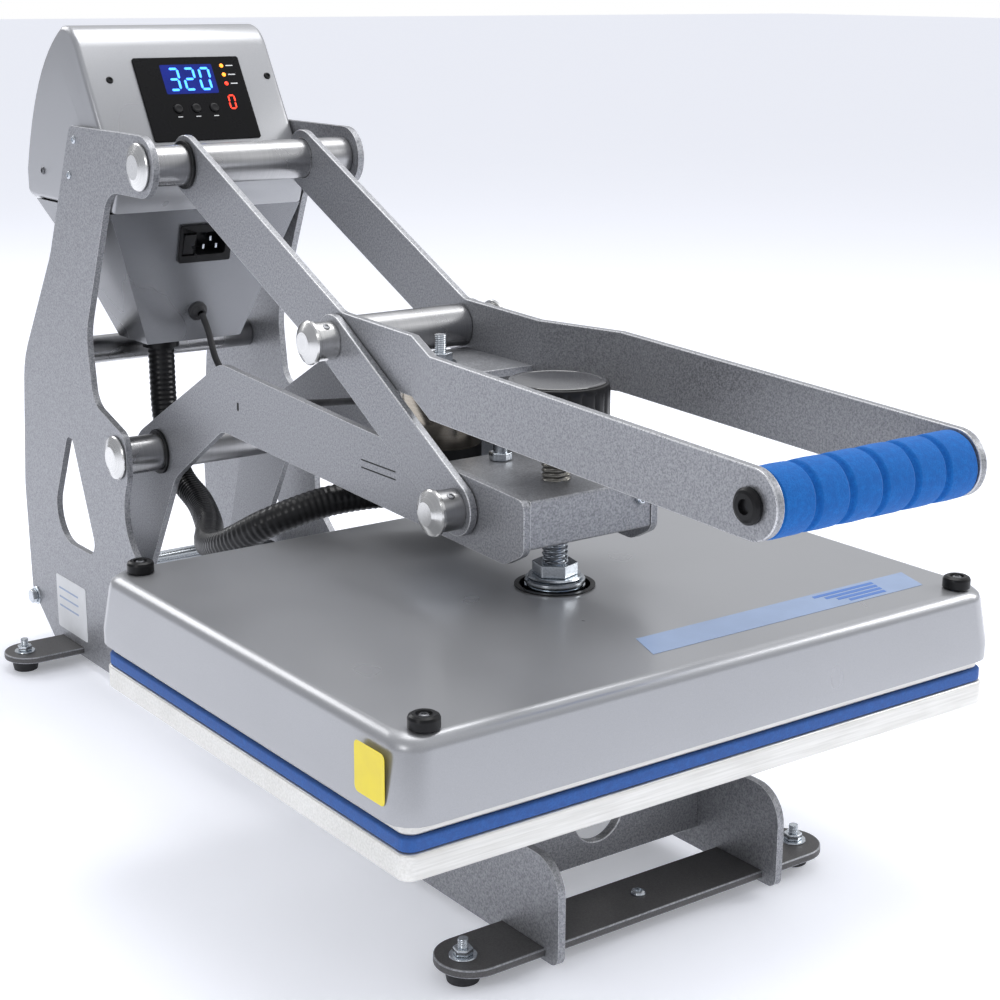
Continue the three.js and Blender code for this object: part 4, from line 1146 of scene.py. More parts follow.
# ------------------------------------------------------------------ base
@dataclass
class BaseFrame:
    """Side plates, foot bars, feet, shafts and the pieces fixed to them."""

    plate_edge: float = 0.8
    shaft_radius: float = 17.0
    cap_radius: float = 20.0
    washer_radius: float = 20.5
    washer_seat: float = 60.4
    core_radius: float = 9.5
    side_screws: Sequence[Pair] = ((0.161, 0.012), (0.147, 0.044))
    tie_place: Pair = (0.013, 0.043)
    tie_half: float = 96.2
    tie_radius: float = 4.2
    label: Pair = (34.0, 27.0)
    label_place: Pair = (0.099, 0.053)

    def build(self) -> None:
        """Makes every piece of the base."""
        for side, _ in SIDES:
            stand_in(f"frame_plate_{side}", f"side_plate_{side}", self.plate_edge, HAMMERTONE,
                     "base", 3)
        for row in ROWS:
            self.make_foot_bar(row)
            stand_in(f"platen_bracket_{row}", f"bracket_{row}", 0.8, HAMMERTONE, "base")
        for node in ("top_shaft", "rear_shaft"):
            self.make_shaft(node)
        self.make_bar("rear_cross_tube", 13.0, STEEL)
        self.make_bar("spring_anchor_bar", 8.0, ZINC)
        self.make_small_parts()

    def make_foot_bar(self, row: str) -> None:
        """Makes one foot bar with its rubber feet, bolts, nuts and washers.

        Args:
            row: Row of feet, front or rear.
        """
        node = f"foot_bar_{row}"
        low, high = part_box(node)
        # The darker bar paint is painted shade and reflection under the platen.
        stand_in(node, f"cross_foot_{row}", 1.0, BAR_PAINTED_SHADE, "base", 3)
        middle = Vector((0, (low.y + high.y) / 2, high.z))
        dress(screw_head(f"bar_screw_{row}", 5.5, 3.0, middle), ZINC, "base")
        for side, _ in SIDES:
            foot = f"rubber_foot_{row}_{side}"
            at = centre(foot)
            reach = (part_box(foot)[1].x - at.x) / MM
            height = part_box(foot)[1].z / MM
            profile = [(0, 1.2), (5, 1.2), (5.6, 0), (reach - 2.6, 0), (reach - 1.4, 0.7),
                       (reach - 0.5, height * 0.45), (reach, height - 2), (reach - 0.6, height),
                       (0, height)]
            pad = turn(f"foot_pad_{row}_{side}", profile, Vector((at.x, at.y, 0)), Axis.Z, 48)
            dress(pad, RUBBER, "base", foot)
            top = Vector((at.x, at.y, high.z))
            ring = washer(f"foot_washer_{row}_{side}", (9.5, 9.9, 0.4, 1.2), top, Axis.Z, 40)
            dress(ring, ZINC, "base")
            dress(hex_nut(f"foot_nut_{row}_{side}", 7.2, 5.0, top + Vector((0, 0, 1.2 * MM))), ZINC,
                  "base")
            stud = threaded(f"foot_stud_{row}_{side}", 3.6, 1.3, 0.35, 7.0,
                            top + Vector((0, 0, 5.5 * MM)))
            dress(stud, ZINC, "base")

    def make_shaft(self, node: str) -> None:
        """Makes a cross shaft with its bright caps and its thrust washers.

        Args:
            node: CAD node of the shaft.
        """
        at, half = centre(node), half_width(node)
        inner = (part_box("frame_plate_right")[0].x - at.x) / MM - 0.3
        r, core = self.shaft_radius, self.core_radius
        profile = [(0, -half), (core, -half), (core, -inner), (r - 0.6, -inner), (r, -inner + 0.6),
                   (r, inner - 0.6), (r - 0.6, inner), (core, inner), (core, half), (0, half)]
        dress(turn(f"{node}_turned", profile, at, Axis.X, 96), STEEL, "base", node)
        c, w = self.cap_radius, self.washer_radius
        for side, sign in SIDES:
            cap_node = f"{node}_cap_{side}"
            cap_low, cap_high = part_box(cap_node)
            height = (cap_high.x - cap_low.x) / MM
            cap = [(0, 0), (c - 0.5, 0), (c, 0.5), (c, 1.5), (c - 0.9, 2.5),
                   (c - 8.2, height - 0.5), (c - 9.6, height), (0, height)]
            place = Vector((side_x(cap_node, -sign), at.y, at.z))
            dress(turn(f"{cap_node}_bright", cap, place, outward(sign), 96), BRIGHT, "base",
                  cap_node)
            ring = [(r + 0.2, 0), (w - 0.4, 0), (w, 0.4), (w, 2.0), (w - 0.4, 2.4), (r + 0.2, 2.4)]
            place = Vector((sign * self.washer_seat * MM, at.y, at.z))
            thrust = turn(f"{node}_washer_{side}", ring, place, outward(sign), 64, closed=True)
            dress(thrust, PLASTIC, "base")

    def make_bar(self, node: str, radius: float, finish: Finish) -> None:
        """Makes a plain cross bar with hollow ends.

        Args:
            node: CAD node of the bar.
            radius: Outer radius, in millimetres.
            finish: Its surface finish.
        """
        half, bore = half_width(node), radius * 0.72
        profile = [(bore, -half), (radius - 0.4, -half), (radius, -half + 0.5),
                   (radius, half - 0.5),
                   (radius - 0.4, half), (bore, half)]
        dress(turn(f"{node}_turned", profile, centre(node), Axis.X, 72, closed=True), finish,
              "base", node)

    def make_small_parts(self) -> None:
        """Makes the side screws, the rear tie rod with its nuts, and the blank label."""
        rear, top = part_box("frame_plate_left")[1].yz
        tie_y, tie_z = rear - self.tie_place[0], self.tie_place[1]
        for side, sign in SIDES:
            axis, x = outward(sign), side_x(f"frame_plate_{side}", sign)
            for index, (back, down) in enumerate(self.side_screws):
                at = Vector((x, rear - back, top - down))
                dress(screw_head(f"side_screw_{side}_{index}", 3.6, 1.8, at, axis), ZINC, "base")
            at = Vector((x, tie_y, tie_z))
            dress(washer(f"tie_washer_{side}", (9.0, 9.4, 0.5, 1.4), at, axis, 40), ZINC, "base")
            nut = hex_nut(f"tie_nut_{side}", 7.4, 5.5, at + Vector((sign * 1.4 * MM, 0, 0)), axis)
            dress(nut, ZINC, "base")
        half, radius = self.tie_half, self.tie_radius
        tie = [(0, -half), (radius, -half), (radius, half), (0, half)]
        dress(turn("tie_rod", tie, Vector((0, tie_y, tie_z)), Axis.X, 32), ZINC, "base")
        corner = Vector((side_x("frame_plate_left", -1), rear - self.label_place[0],
                         self.label_place[1]))
        place = basis(corner, Vector((0, -1, 0)), UP)
        sticker = prism("blank_label", rounded(self.label[0], self.label[1], 3), 0.3, place, 0.1)
        dress(sticker, PRINT_WHITE, "base")
        for index in range(3):
            line = place @ Matrix.Translation(Vector((-6 * MM, (14 - 9 * index) * MM, 0.3 * MM)))
            bar = prism(f"label_rule_{index}", rounded(22, 0.9, 0.8, 2), 0.1, line, 0.03)
            dress(bar, PRINT_PALE, "base")


# ------------------------------------------------------------------ lower platen
@dataclass
class LowerPlaten:
    """Fixed platen and its sponge pad."""

    def build(self) -> None:
        """Makes the platen and the pad."""
        stand_in("lower_platen", "platen_casting", 1.6, ALUMINIUM, "base", 3)
        pad = stand_in("platen_pad", "sponge_pad", 1.8, BLUE_PAD, "base", 3)


@dataclass
class LiftSprings:
    """Two coil springs that pull the arm open."""

    coil_radius: float = 11.0
    wire: float = 1.8
    turns: int = 22
    per_turn: int = 20
    bar_radius: float = 8.0
    hook: float = 8.0

    def build(self) -> None:
        """Makes both springs with a hook at each end."""
        anchor, tail = centre("spring_anchor_bar"), centre("tail_bar")
        for side, _ in SIDES:
            node = f"lift_spring_{side}"
            x = (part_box(node)[0].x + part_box(node)[1].x) / 2
            start, end = Vector((x, anchor.y, anchor.z)), Vector((x, tail.y, tail.z))
            along = (end - start).normalized()
            across = Vector((1, 0, 0))
            up = along.cross(across)
            clear = (self.bar_radius + self.wire + 0.4) * MM
            inset = along * (clear + self.hook * MM)
            coil_start, coil_end = start + inset, end - inset
            line = [start - along * clear, start - along * clear * 0.6 + up * clear * 0.9,
                    start + up * clear]
            total = self.turns * self.per_turn
            for step in range(total + 1):
                angle = 2 * math.pi * step / self.per_turn
                spot = coil_start.lerp(coil_end, step / total)
                out = up * math.cos(angle) + across * math.sin(angle)
                line.append(spot + out * self.coil_radius * MM)
            line += [end + up * clear, end + along * clear * 0.6 + up * clear * 0.9,
                     end + along * clear]
            spring = tube(f"coil_spring_{side}", line, lambda distance, angle: self.wire * MM, 10)
            spring.data.materials.append(SPRING.material())
            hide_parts(node)
            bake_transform(spring)


# ------------------------------------------------------------------ press arm
@dataclass
class PressArm:
    """Knee-shaped arms, head block, electromagnet and the front pivot."""

    pivot_radius: float = 11.0
    cap_radius: float = 17.0
    cap_height: float = 8.0
    bar_radius: float = 8.0
    tab_offsets: Sequence[float] = (-0.003, 0.003)
    slot_place: Pair = (0.214, 0.010)
    block_screw_place: Pair = (0.044, 0.012)

    def build(self) -> None:
        """Makes every piece of the press arm."""
        for side, _ in SIDES:
            stand_in(f"press_arm_{side}", f"knee_arm_{side}", 0.8, HAMMERTONE, "press_arm", 3)
        stand_in("head_block", "front_block", 1.2, HAMMERTONE, "press_arm", 3)
        stand_in("magnet_seat", "seat_plate", 0.6, ZINC, "press_arm")
        self.make_magnet()
        self.make_front_pivot()
        self.make_stop_bolt()
        self.make_tail_bar()
        self.make_tabs()

    def make_magnet(self) -> None:
        """Makes the electromagnet with its black band."""
        at, r, h = footing("electromagnet")
        shell = [(0, 0), (r - 0.6, 0), (r, 0.6), (r, h - 2), (r - 1.5, h - 0.4), (r - 2.2, h),
                 (r * 0.55, h),
                 (r * 0.55, h - 0.5), (r * 0.4, h - 0.5), (r * 0.4, h), (0, h)]
        dress(turn("magnet_shell", shell, at, Axis.Z, 96), MAGNET, "press_arm", "electromagnet")
        band = [(r + 0.05, 0.6), (r + 0.5, 0.6), (r + 0.5, 10.5), (r + 0.05, 10.5)]
        dress(turn("magnet_band", band, at, Axis.Z, 96, closed=True), DARK_BAND_AND_GAP_SHADE, "press_arm")

    def make_front_pivot(self) -> None:
        """Makes the front pivot shaft with bevelled bright ends."""
        node = "front_pivot_shaft"
        half, r, c = half_width(node), self.pivot_radius, self.cap_radius
        face = half - self.cap_height
        end = [(c - 0.5, face), (c, face + 0.6), (c, face + 2.6), (c - 0.9, face + 3.7),
               (c - 7.2, half - 0.5), (c - 8.4, half)]
        profile = [(0, -half), *mirrored(end), (r, -face), (r, face), *end, (0, half)]
        shaft = turn("front_pivot_turned", profile, centre(node), Axis.X, 96)
        dress(shaft, BRIGHT, "press_arm", node)

    def make_stop_bolt(self) -> None:
        """Makes the adjustable stop bolt with its lock nut."""
        at, _, length = footing("stop_bolt")
        profile = [(0, 0), (5.0, 0), (5.5, 0.6), (5.5, length - 1), (4.6, length), (0, length)]
        dress(turn("stop_bolt_turned", profile, at, Axis.Z, 48), ZINC, "press_arm", "stop_bolt")
        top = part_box("head_block")[1].z
        nut = hex_nut("stop_lock_nut", 9.0, 6.0, Vector((at.x, at.y, top + 0.3 * MM)))
        dress(nut, ZINC, "press_arm")

    def make_tail_bar(self) -> None:
        """Makes the bar that the springs pull on."""
        half, r = half_width("tail_bar"), self.bar_radius
        profile = [(0, -half), (r - 0.6, -half), (r, 0.6 - half), (r, half - 0.6), (r - 0.6, half),
                   (0, half)]
        dress(turn("tail_bar_turned", profile, centre("tail_bar"), Axis.X, 48), ZINC, "press_arm",
              "tail_bar")

    def make_tabs(self) -> None:
        """Makes the painted shade of the gaps round the seat's tabs and of the small slot, and the
        block screw.
        """
        seat = centre("magnet_seat")
        for side, sign in SIDES:
            x, across = side_x(f"press_arm_{side}", sign), Vector((0, sign, 0))
            # Thin dark strips: painted shade in the gaps round the seat's tabs.
            for index, offset in enumerate(self.tab_offsets):
                place = basis(Vector((x, seat.y - 0.004, seat.z + 0.001 + offset)), across, UP)
                outline = rounded(24, 0.55, 0.4, 2)
                line = prism(f"seat_tab_line_{side}_{index}", outline, 0.12, place, 0.03)
                dress(line, DARK_BAND_AND_GAP_SHADE, "press_arm")
            # A dark patch: painted shade in the small slot.
            back, rise = self.slot_place
            place = basis(Vector((x, seat.y + back, seat.z + rise)), across, UP)
            slot = prism(f"arm_slot_{side}", rounded(1.4, 3.6, 1.2, 3), 0.25, place, 0.1)
            dress(slot, DARK_BAND_AND_GAP_SHADE, "press_arm")
        low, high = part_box("head_block")
        x, drop = self.block_screw_place
        at = Vector((x, low.y, high.z - drop))
        screw = screw_head("block_screw", 5.0, 3.4, at)
        screw.matrix_world = Matrix.Translation(at) @ Matrix.Rotation(math.pi / 2, 4, "X")
        dress(screw, ZINC, "press_arm")


# ------------------------------------------------------------------ heated platen
@dataclass
class HeatHead:
    """Heated platen, its cover and the bumpers."""

    collar_radius: float = 22.0
    hole_radius: float = 28.0
    sticker: float = 16.5
    band_half: Pair = (128.0, 15.0)

    def build(self) -> None:
        """Makes every piece of the heated platen."""
        stand_in("heat_platen", "heated_casting", 1.5, ALUMINIUM, "heat_head", 3)
        stand_in("platen_cover", "cover_shell", 0.5, SATIN, "heat_head")
        self.make_bumpers()
        self.make_swivel()
        self.make_prints()

    def make_bumpers(self) -> None:
        """Makes the four rubber bumpers with a screw in each."""
        for row in ROWS:
            for side, _ in SIDES:
                node = f"cover_bumper_{row}_{side}"
                at, _, h = footing(node)
                floor = h - 1.6
                profile = [(0, 0), (9.2, 0), (10, 0.8), (10, h - 2.6), (9.3, h - 1.0), (7.6, h),
                           (5.2, h),
                           (4.6, floor), (0, floor)]
                dress(turn(f"bumper_{row}_{side}", profile, at, Axis.Z, 48), PLASTIC, "heat_head",
                      node)
                seat = at + Vector((0, 0, floor * MM))
                dress(screw_head(f"bumper_screw_{row}_{side}", 3.4, 1.3, seat), SPRING, "heat_head")

    def make_swivel(self) -> None:
        """Makes the grooved swivel collar and the lined hole round it."""
        at, _, h = footing("swivel_collar")
        c = self.collar_radius
        profile = [(0, 0), (c, 0), (c, h - 5), (c - 1.5, h - 4.4), (c - 1.5, h - 3.6), (c, h - 3),
                   (c, h - 0.8), (c - 0.8, h), (0, h)]
        dress(turn("swivel_turned", profile, at, Axis.Z, 72), ZINC, "heat_head", "swivel_collar")
        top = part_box("platen_cover")[1].z
        r = self.hole_radius
        liner = [(r - 2.2, -6), (r - 0.4, -6), (r - 0.4, 0.1), (r + 1.4, 0.1), (r + 1.4, 1.0),
                 (r - 2.2, 1.0)]
        ring = turn("hole_liner", liner, Vector((at.x, at.y, top)), Axis.Z, 72, closed=True)
        dress(ring, PLASTIC, "heat_head")

    def make_prints(self) -> None:
        """Makes the plain sticker on the side and the plain stripes on the top."""
        low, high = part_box("platen_cover")
        corner = Vector((low.x - 0.1 * MM, low.y + 0.035, low.z + 0.026))
        place = basis(corner, Vector((0, -1, 0)), UP)
        sticker = prism("side_sticker", rounded(self.sticker, self.sticker, 4), 0.25, place, 0.1)
        dress(sticker, PRINT_YELLOW, "heat_head")
        along = Vector((0, 1, 0))
        origin = Vector((high.x - 0.165, low.y + 0.052, high.z + 0.05 * MM))
        plain = prism("band_ground", self.slanted(*self.band_half), 0.2,
                      basis(origin, RIGHT, along), 0.05)
        dress(plain, PRINT_PALE, "heat_head")
        for index in range(4):
            half = 30 - 4 * index
            spot = origin + Vector(((96 - half - 2 * index) * MM, (9 - 6 * index) * MM, 0.2 * MM))
            place = basis(spot, RIGHT, along)
            stripe = prism(f"band_stripe_{index}", self.slanted(half, 1.9), 0.15, place, 0.03)
            dress(stripe, PRINT_BLUE, "heat_head")

    @staticmethod
    def slanted(half_a: float, half_b: float) -> list[Pair]:
        """Corners of a slanted bar about the origin, in millimetres."""
        lean = half_b * 0.35
        lower = [(-half_a - lean, -half_b), (half_a - lean, -half_b)]
        return [*lower, (half_a + lean, half_b), (-half_a + lean, half_b)]


@dataclass
class PressureScrew:
    """Threaded screw, its nut and the hand knob."""

    rod_radius: float = 9.7
    pitch: float = 3.6
    washer_height: float = 2.0
    flutes: int = 20
    flute_depth: float = 0.035
    fluted: Pair = (0.04, 0.85)
    levels: Sequence[Pair] = (
        (0.0, 0.90), (0.06, 0.955), (0.12, 0.985), (0.78, 0.985), (0.90, 0.98), (0.97, 0.965),
        (1.0, 0.93),
    )

    def build(self) -> None:
        """Makes the screw, the nut, the washer and the knob."""
        at, _, length = footing("pressure_screw")
        lower = (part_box("head_block")[1].z - at.z) / MM
        rod = threaded("screw_thread", self.rod_radius, self.pitch, 1.1, lower, at)
        dress(rod, ZINC, "screw", "pressure_screw")
        above, radius = at + Vector((0, 0, lower * MM)), self.rod_radius + 1
        rod = threaded("screw_thread_upper", radius, self.pitch, 1.3, length - lower, above)
        dress(rod, THREAD, "screw")
        thick = self.washer_height
        dress(washer("screw_washer", (19.2, 20, 0.7, thick), at, Axis.Z, 56), ZINC, "screw")
        dress(hex_nut("screw_nut", 16.8, 9.5, at + Vector((0, 0, thick * MM))), ZINC, "screw")
        self.make_knob()

    def make_knob(self) -> None:
        """Makes the fluted knob with its polished face."""
        at, radius, height = footing("pressure_knob")
        outer, h = radius * MM, height * MM
        line = [Vector((0, 0, h * share)) for share, _ in self.levels]

        def reach(distance: float, angle: float) -> float:
            """Gives the radius of the fluted rim.

            Args:
                distance: Metres up the knob.
                angle: Radians round it.

            Returns:
                The radius in metres.
            """
            share = distance / h
            _, size = min(self.levels, key=lambda level: abs(level[0] - share))
            flute = max(0.0, math.cos(self.flutes * angle)) ** 3
            depth = self.flute_depth if self.fluted[0] <= share <= self.fluted[1] else 0.0
            return outer * size * (1 - depth * flute)

        knob = tube("knob_rim", line, reach, 160)
        knob.matrix_world = Matrix.Translation(at)
        dress(soften(knob, 0.4), PLASTIC, "screw", "pressure_knob")
        face = [(0, 0), (34.6, 0), (34.9, 0.35), (34.2, 0.8), (31.5, 0.9), (31, 0.6), (0, 0.55)]
        dress(turn("knob_face", face, at + Vector((0, 0, h)), Axis.Z, 96), KNOB_FACE, "screw")


# ------------------------------------------------------------------ handle
@dataclass
class Handle:
    """Bent handle plates, grip, middle shaft and the strike disc that hangs from them."""

    grip_radius: float = 21.3
    bore: float = 9.3
    grooves: int = 5
    groove: Sequence[Pair] = (
        (-3.4, 0.2), (-2.4, 0.8), (-1.2, 2.2), (0, 2.9), (1.2, 2.2), (2.4, 0.8), (3.4, 0.2),
    )
    rod_radius: float = 9.0
    shaft_radius: float = 17.0
    dent: float = 0.004

    def build(self) -> None:
        """Makes every piece of the handle."""
        for side, _ in SIDES:
            stand_in(f"handle_plate_{side}", f"handle_bar_{side}", 0.8, HAMMERTONE, "handle", 3)
        stand_in("strike_carrier", "strike_bridge", 0.8, HAMMERTONE, "handle")
        self.make_mid_shaft()
        self.make_grip()
        self.make_strike_disc()

    def make_mid_shaft(self) -> None:
        """Makes the middle shaft."""
        half, inner = half_width("mid_shaft"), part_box("strike_carrier")[1].x / MM
        r, core = self.shaft_radius, self.rod_radius
        profile = [(0, -half), (core, -half), (core, -inner), (r - 0.6, -inner), (r, 0.6 - inner),
                   (r, inner - 0.6), (r - 0.6, inner), (core, inner), (core, half), (0, half)]
        dress(turn("mid_shaft_turned", profile, centre("mid_shaft"), Axis.X, 80), STEEL, "handle",
              "mid_shaft")

    def make_grip(self) -> None:
        """Makes the grooved foam grip and its rod."""
        half, r, bore = half_width("handle_grip"), self.grip_radius, self.bore
        end = [(r - 0.3, half - 2.0), (r - 1.2, half - 0.7), (r - 3.0, half), (bore, half)]
        profile = mirrored(end)
        segment = 2 * half / (self.grooves + 1)
        for groove in range(self.grooves + 1):
            start = -half + groove * segment
            for share in (0.2, 0.5, 0.8):
                crown = 0.25 * math.sin(math.pi * share)
                profile.append((r - 0.25 + crown, start + share * segment))
            if groove < self.grooves:
                profile += [(r - drop, start + segment + offset) for offset, drop in self.groove]
        grip = turn("foam_grip", [*profile, *end], centre("handle_grip"), Axis.X, 96, closed=True)
        for vertex in grip.data.vertices:
            wave = math.sin(vertex.co.z * 310 + vertex.co.x * 170) * math.sin(vertex.co.y * 260)
            if vertex.co.to_2d().length > 2 * self.rod_radius * MM:
                vertex.co *= 1 + self.dent * wave
        dress(grip, BLUE_FOAM, "handle", "handle_grip")
        self.make_grip_rod()

    def make_grip_rod(self) -> None:
        """Makes the rod in the grip, with a socketed button head at each end."""
        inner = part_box("handle_plate_right")[1].x / MM + 0.3
        tip, r = half_width("grip_rod"), self.rod_radius
        end = [(9.6, inner), (11, inner + 0.6), (11, inner + 2.6), (9.4, tip - 0.6), (7.6, tip),
               (4.6, tip), (4.3, tip - 2.6), (0, tip - 2.6)]
        profile = [*mirrored(end), (r, -inner), (r, inner), *end]
        rod = turn("grip_rod_turned", profile, centre("grip_rod"), Axis.X, 64)
        dress(rod, PLASTIC, "handle", "grip_rod")

    def make_strike_disc(self) -> None:
        """Makes the disc that the magnet holds, with its stud, washer and nut."""
        at, r, _ = footing("strike_disc")
        plate_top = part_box("strike_carrier")[1].z
        disc = [(0, 0), (r - 0.6, 0), (r, 0.6), (r, 7.4), (r - 0.6, 8), (5.9, 8), (5.9, 22.4),
                (0, 22.4)]
        dress(turn("strike_disc_turned", disc, at, Axis.Z, 96), ZINC, "handle", "strike_disc")
        seat = Vector((at.x, at.y, plate_top + 0.2 * MM))
        dress(washer("strike_washer", (12, 12.5, 0.5, 1.6), seat), ZINC, "handle")
        dress(hex_nut("strike_nut", 9.6, 7.0, seat + Vector((0, 0, 1.6 * MM))), ZINC, "handle")
        stud = threaded("strike_stud", 4.6, 1.6, 0.45, 14.0, seat + Vector((0, 0, 8.0 * MM)))
        dress(stud, ZINC, "handle")


# ------------------------------------------------------------------ toggle links
@dataclass
class ToggleLinks:
    """Links from the handle's elbow to the front pivot, with their collars and caps."""

    width: float = 40.0
    plate: float = 6.0
    collar_radius: float = 15.0
    collar_length: float = 17.0
    cap_radius: float = 17.0
    bore: float = 11.3

    def build(self) -> None:
        """Makes both links."""
        front, middle = centre("front_pivot_shaft"), centre("mid_shaft")
        for side, sign in SIDES:
            inner, axis = side_x(f"toggle_link_{side}", -sign), outward(sign)
            ends = [Vector((inner, pivot.y, pivot.z)) for pivot in (front, middle)]
            link = self.make_bar(f"link_bar_{side}", *ends, sign)
            dress(link, HAMMERTONE, "toggle_links", f"toggle_link_{side}")
            start = inner + sign * self.plate * MM
            c, length = self.collar_radius, self.collar_length
            ring = [(self.bore, 0), (c - 0.6, 0), (c, 0.6), (c, length - 0.6), (c - 0.6, length),
                    (self.bore, length)]
            collar = turn(f"front_collar_{side}", ring, Vector((start, front.y, front.z)), axis, 72,
                          closed=True)
            dress(collar, STEEL, "toggle_links")
            solid = [(0, 0), (c - 0.6, 0), (c, 0.6), (c, length - 0.8), (c - 0.8, length - 0.2),
                     (c - 0.8, length)]
            cap = self.cap_radius
            solid += [(cap - 0.4, length), (cap, length + 0.5), (cap, length + 2.6),
                      (cap - 0.9, length + 3.7),
                      (cap - 7.2, length + 7.5), (cap - 8.4, length + 8), (0, length + 8)]
            boss = turn(f"elbow_cap_{side}", solid, Vector((start, middle.y, middle.z)), axis, 96)
            dress(boss, BRIGHT, "toggle_links")
            for title, spot in (("front", front), ("elbow", middle)):
                at = Vector((start + sign * length * 0.5 * MM, spot.y, spot.z))
                self.make_set_screw(f"{title}_set_screw_{side}", at)

    def make_bar(self, name: str, a: Vector, b: Vector, sign: int) -> bpy.types.Object:
        """Makes a bar with full round ends between two pivots.

        Args:
            name: Name of the piece.
            a: First pivot, on the inner face.
            b: Second pivot, on the inner face.
            sign: 1 where the bar grows to the right, -1 to the left.

        Returns:
            The new object.
        """
        span = (b - a).length / MM
        r = self.width / 2
        steps = 20
        outline: list[Pair] = []
        for middle, start in ((0.0, math.pi / 2), (span, -math.pi / 2)):
            for step in range(steps + 1):
                angle = start + math.pi * step / steps
                outline.append((middle + r * math.cos(angle), r * math.sin(angle)))
        across = (b - a).normalized()
        up = Vector((sign, 0, 0)).cross(across)
        return prism(name, outline, self.plate, basis(a, across, up), 0.8)

    def make_set_screw(self, name: str, at: Vector) -> None:
        """Makes a small socket screw in a collar's top front.

        Args:
            name: Name of the piece.
            at: Point of the collar's axis that it points at.
        """
        out = Vector((0, -0.55, 0.83)).normalized()
        place = basis(at + out * (self.collar_radius - 0.3) * MM, RIGHT, out.cross(RIGHT))
        screw = screw_head(name, 3.0, 0.9, Vector((0, 0, 0)))
        screw.matrix_world = place
        dress(screw, SPRING, "toggle_links")


# ------------------------------------------------------------------ control head
class Segment(Enum):
    """Bars of a seven-bar digit, as middle and direction in units of half the digit."""

    TOP = (0.0, 2.0, False)
    UPPER_LEFT = (-1.0, 1.0, True)
    UPPER_RIGHT = (1.0, 1.0, True)
    MIDDLE = (0.0, 0.0, False)
    LOWER_LEFT = (-1.0, -1.0, True)
    LOWER_RIGHT = (1.0, -1.0, True)
    BOTTOM = (0.0, -2.0, False)


DIGITS: dict[str, tuple[Segment, ...]] = {
    "0": tuple(bar for bar in Segment if bar is not Segment.MIDDLE),
    "2": (Segment.TOP, Segment.UPPER_RIGHT, Segment.MIDDLE, Segment.LOWER_LEFT, Segment.BOTTOM),
    "3": (Segment.TOP, Segment.UPPER_RIGHT, Segment.MIDDLE, Segment.LOWER_RIGHT, Segment.BOTTOM),
}


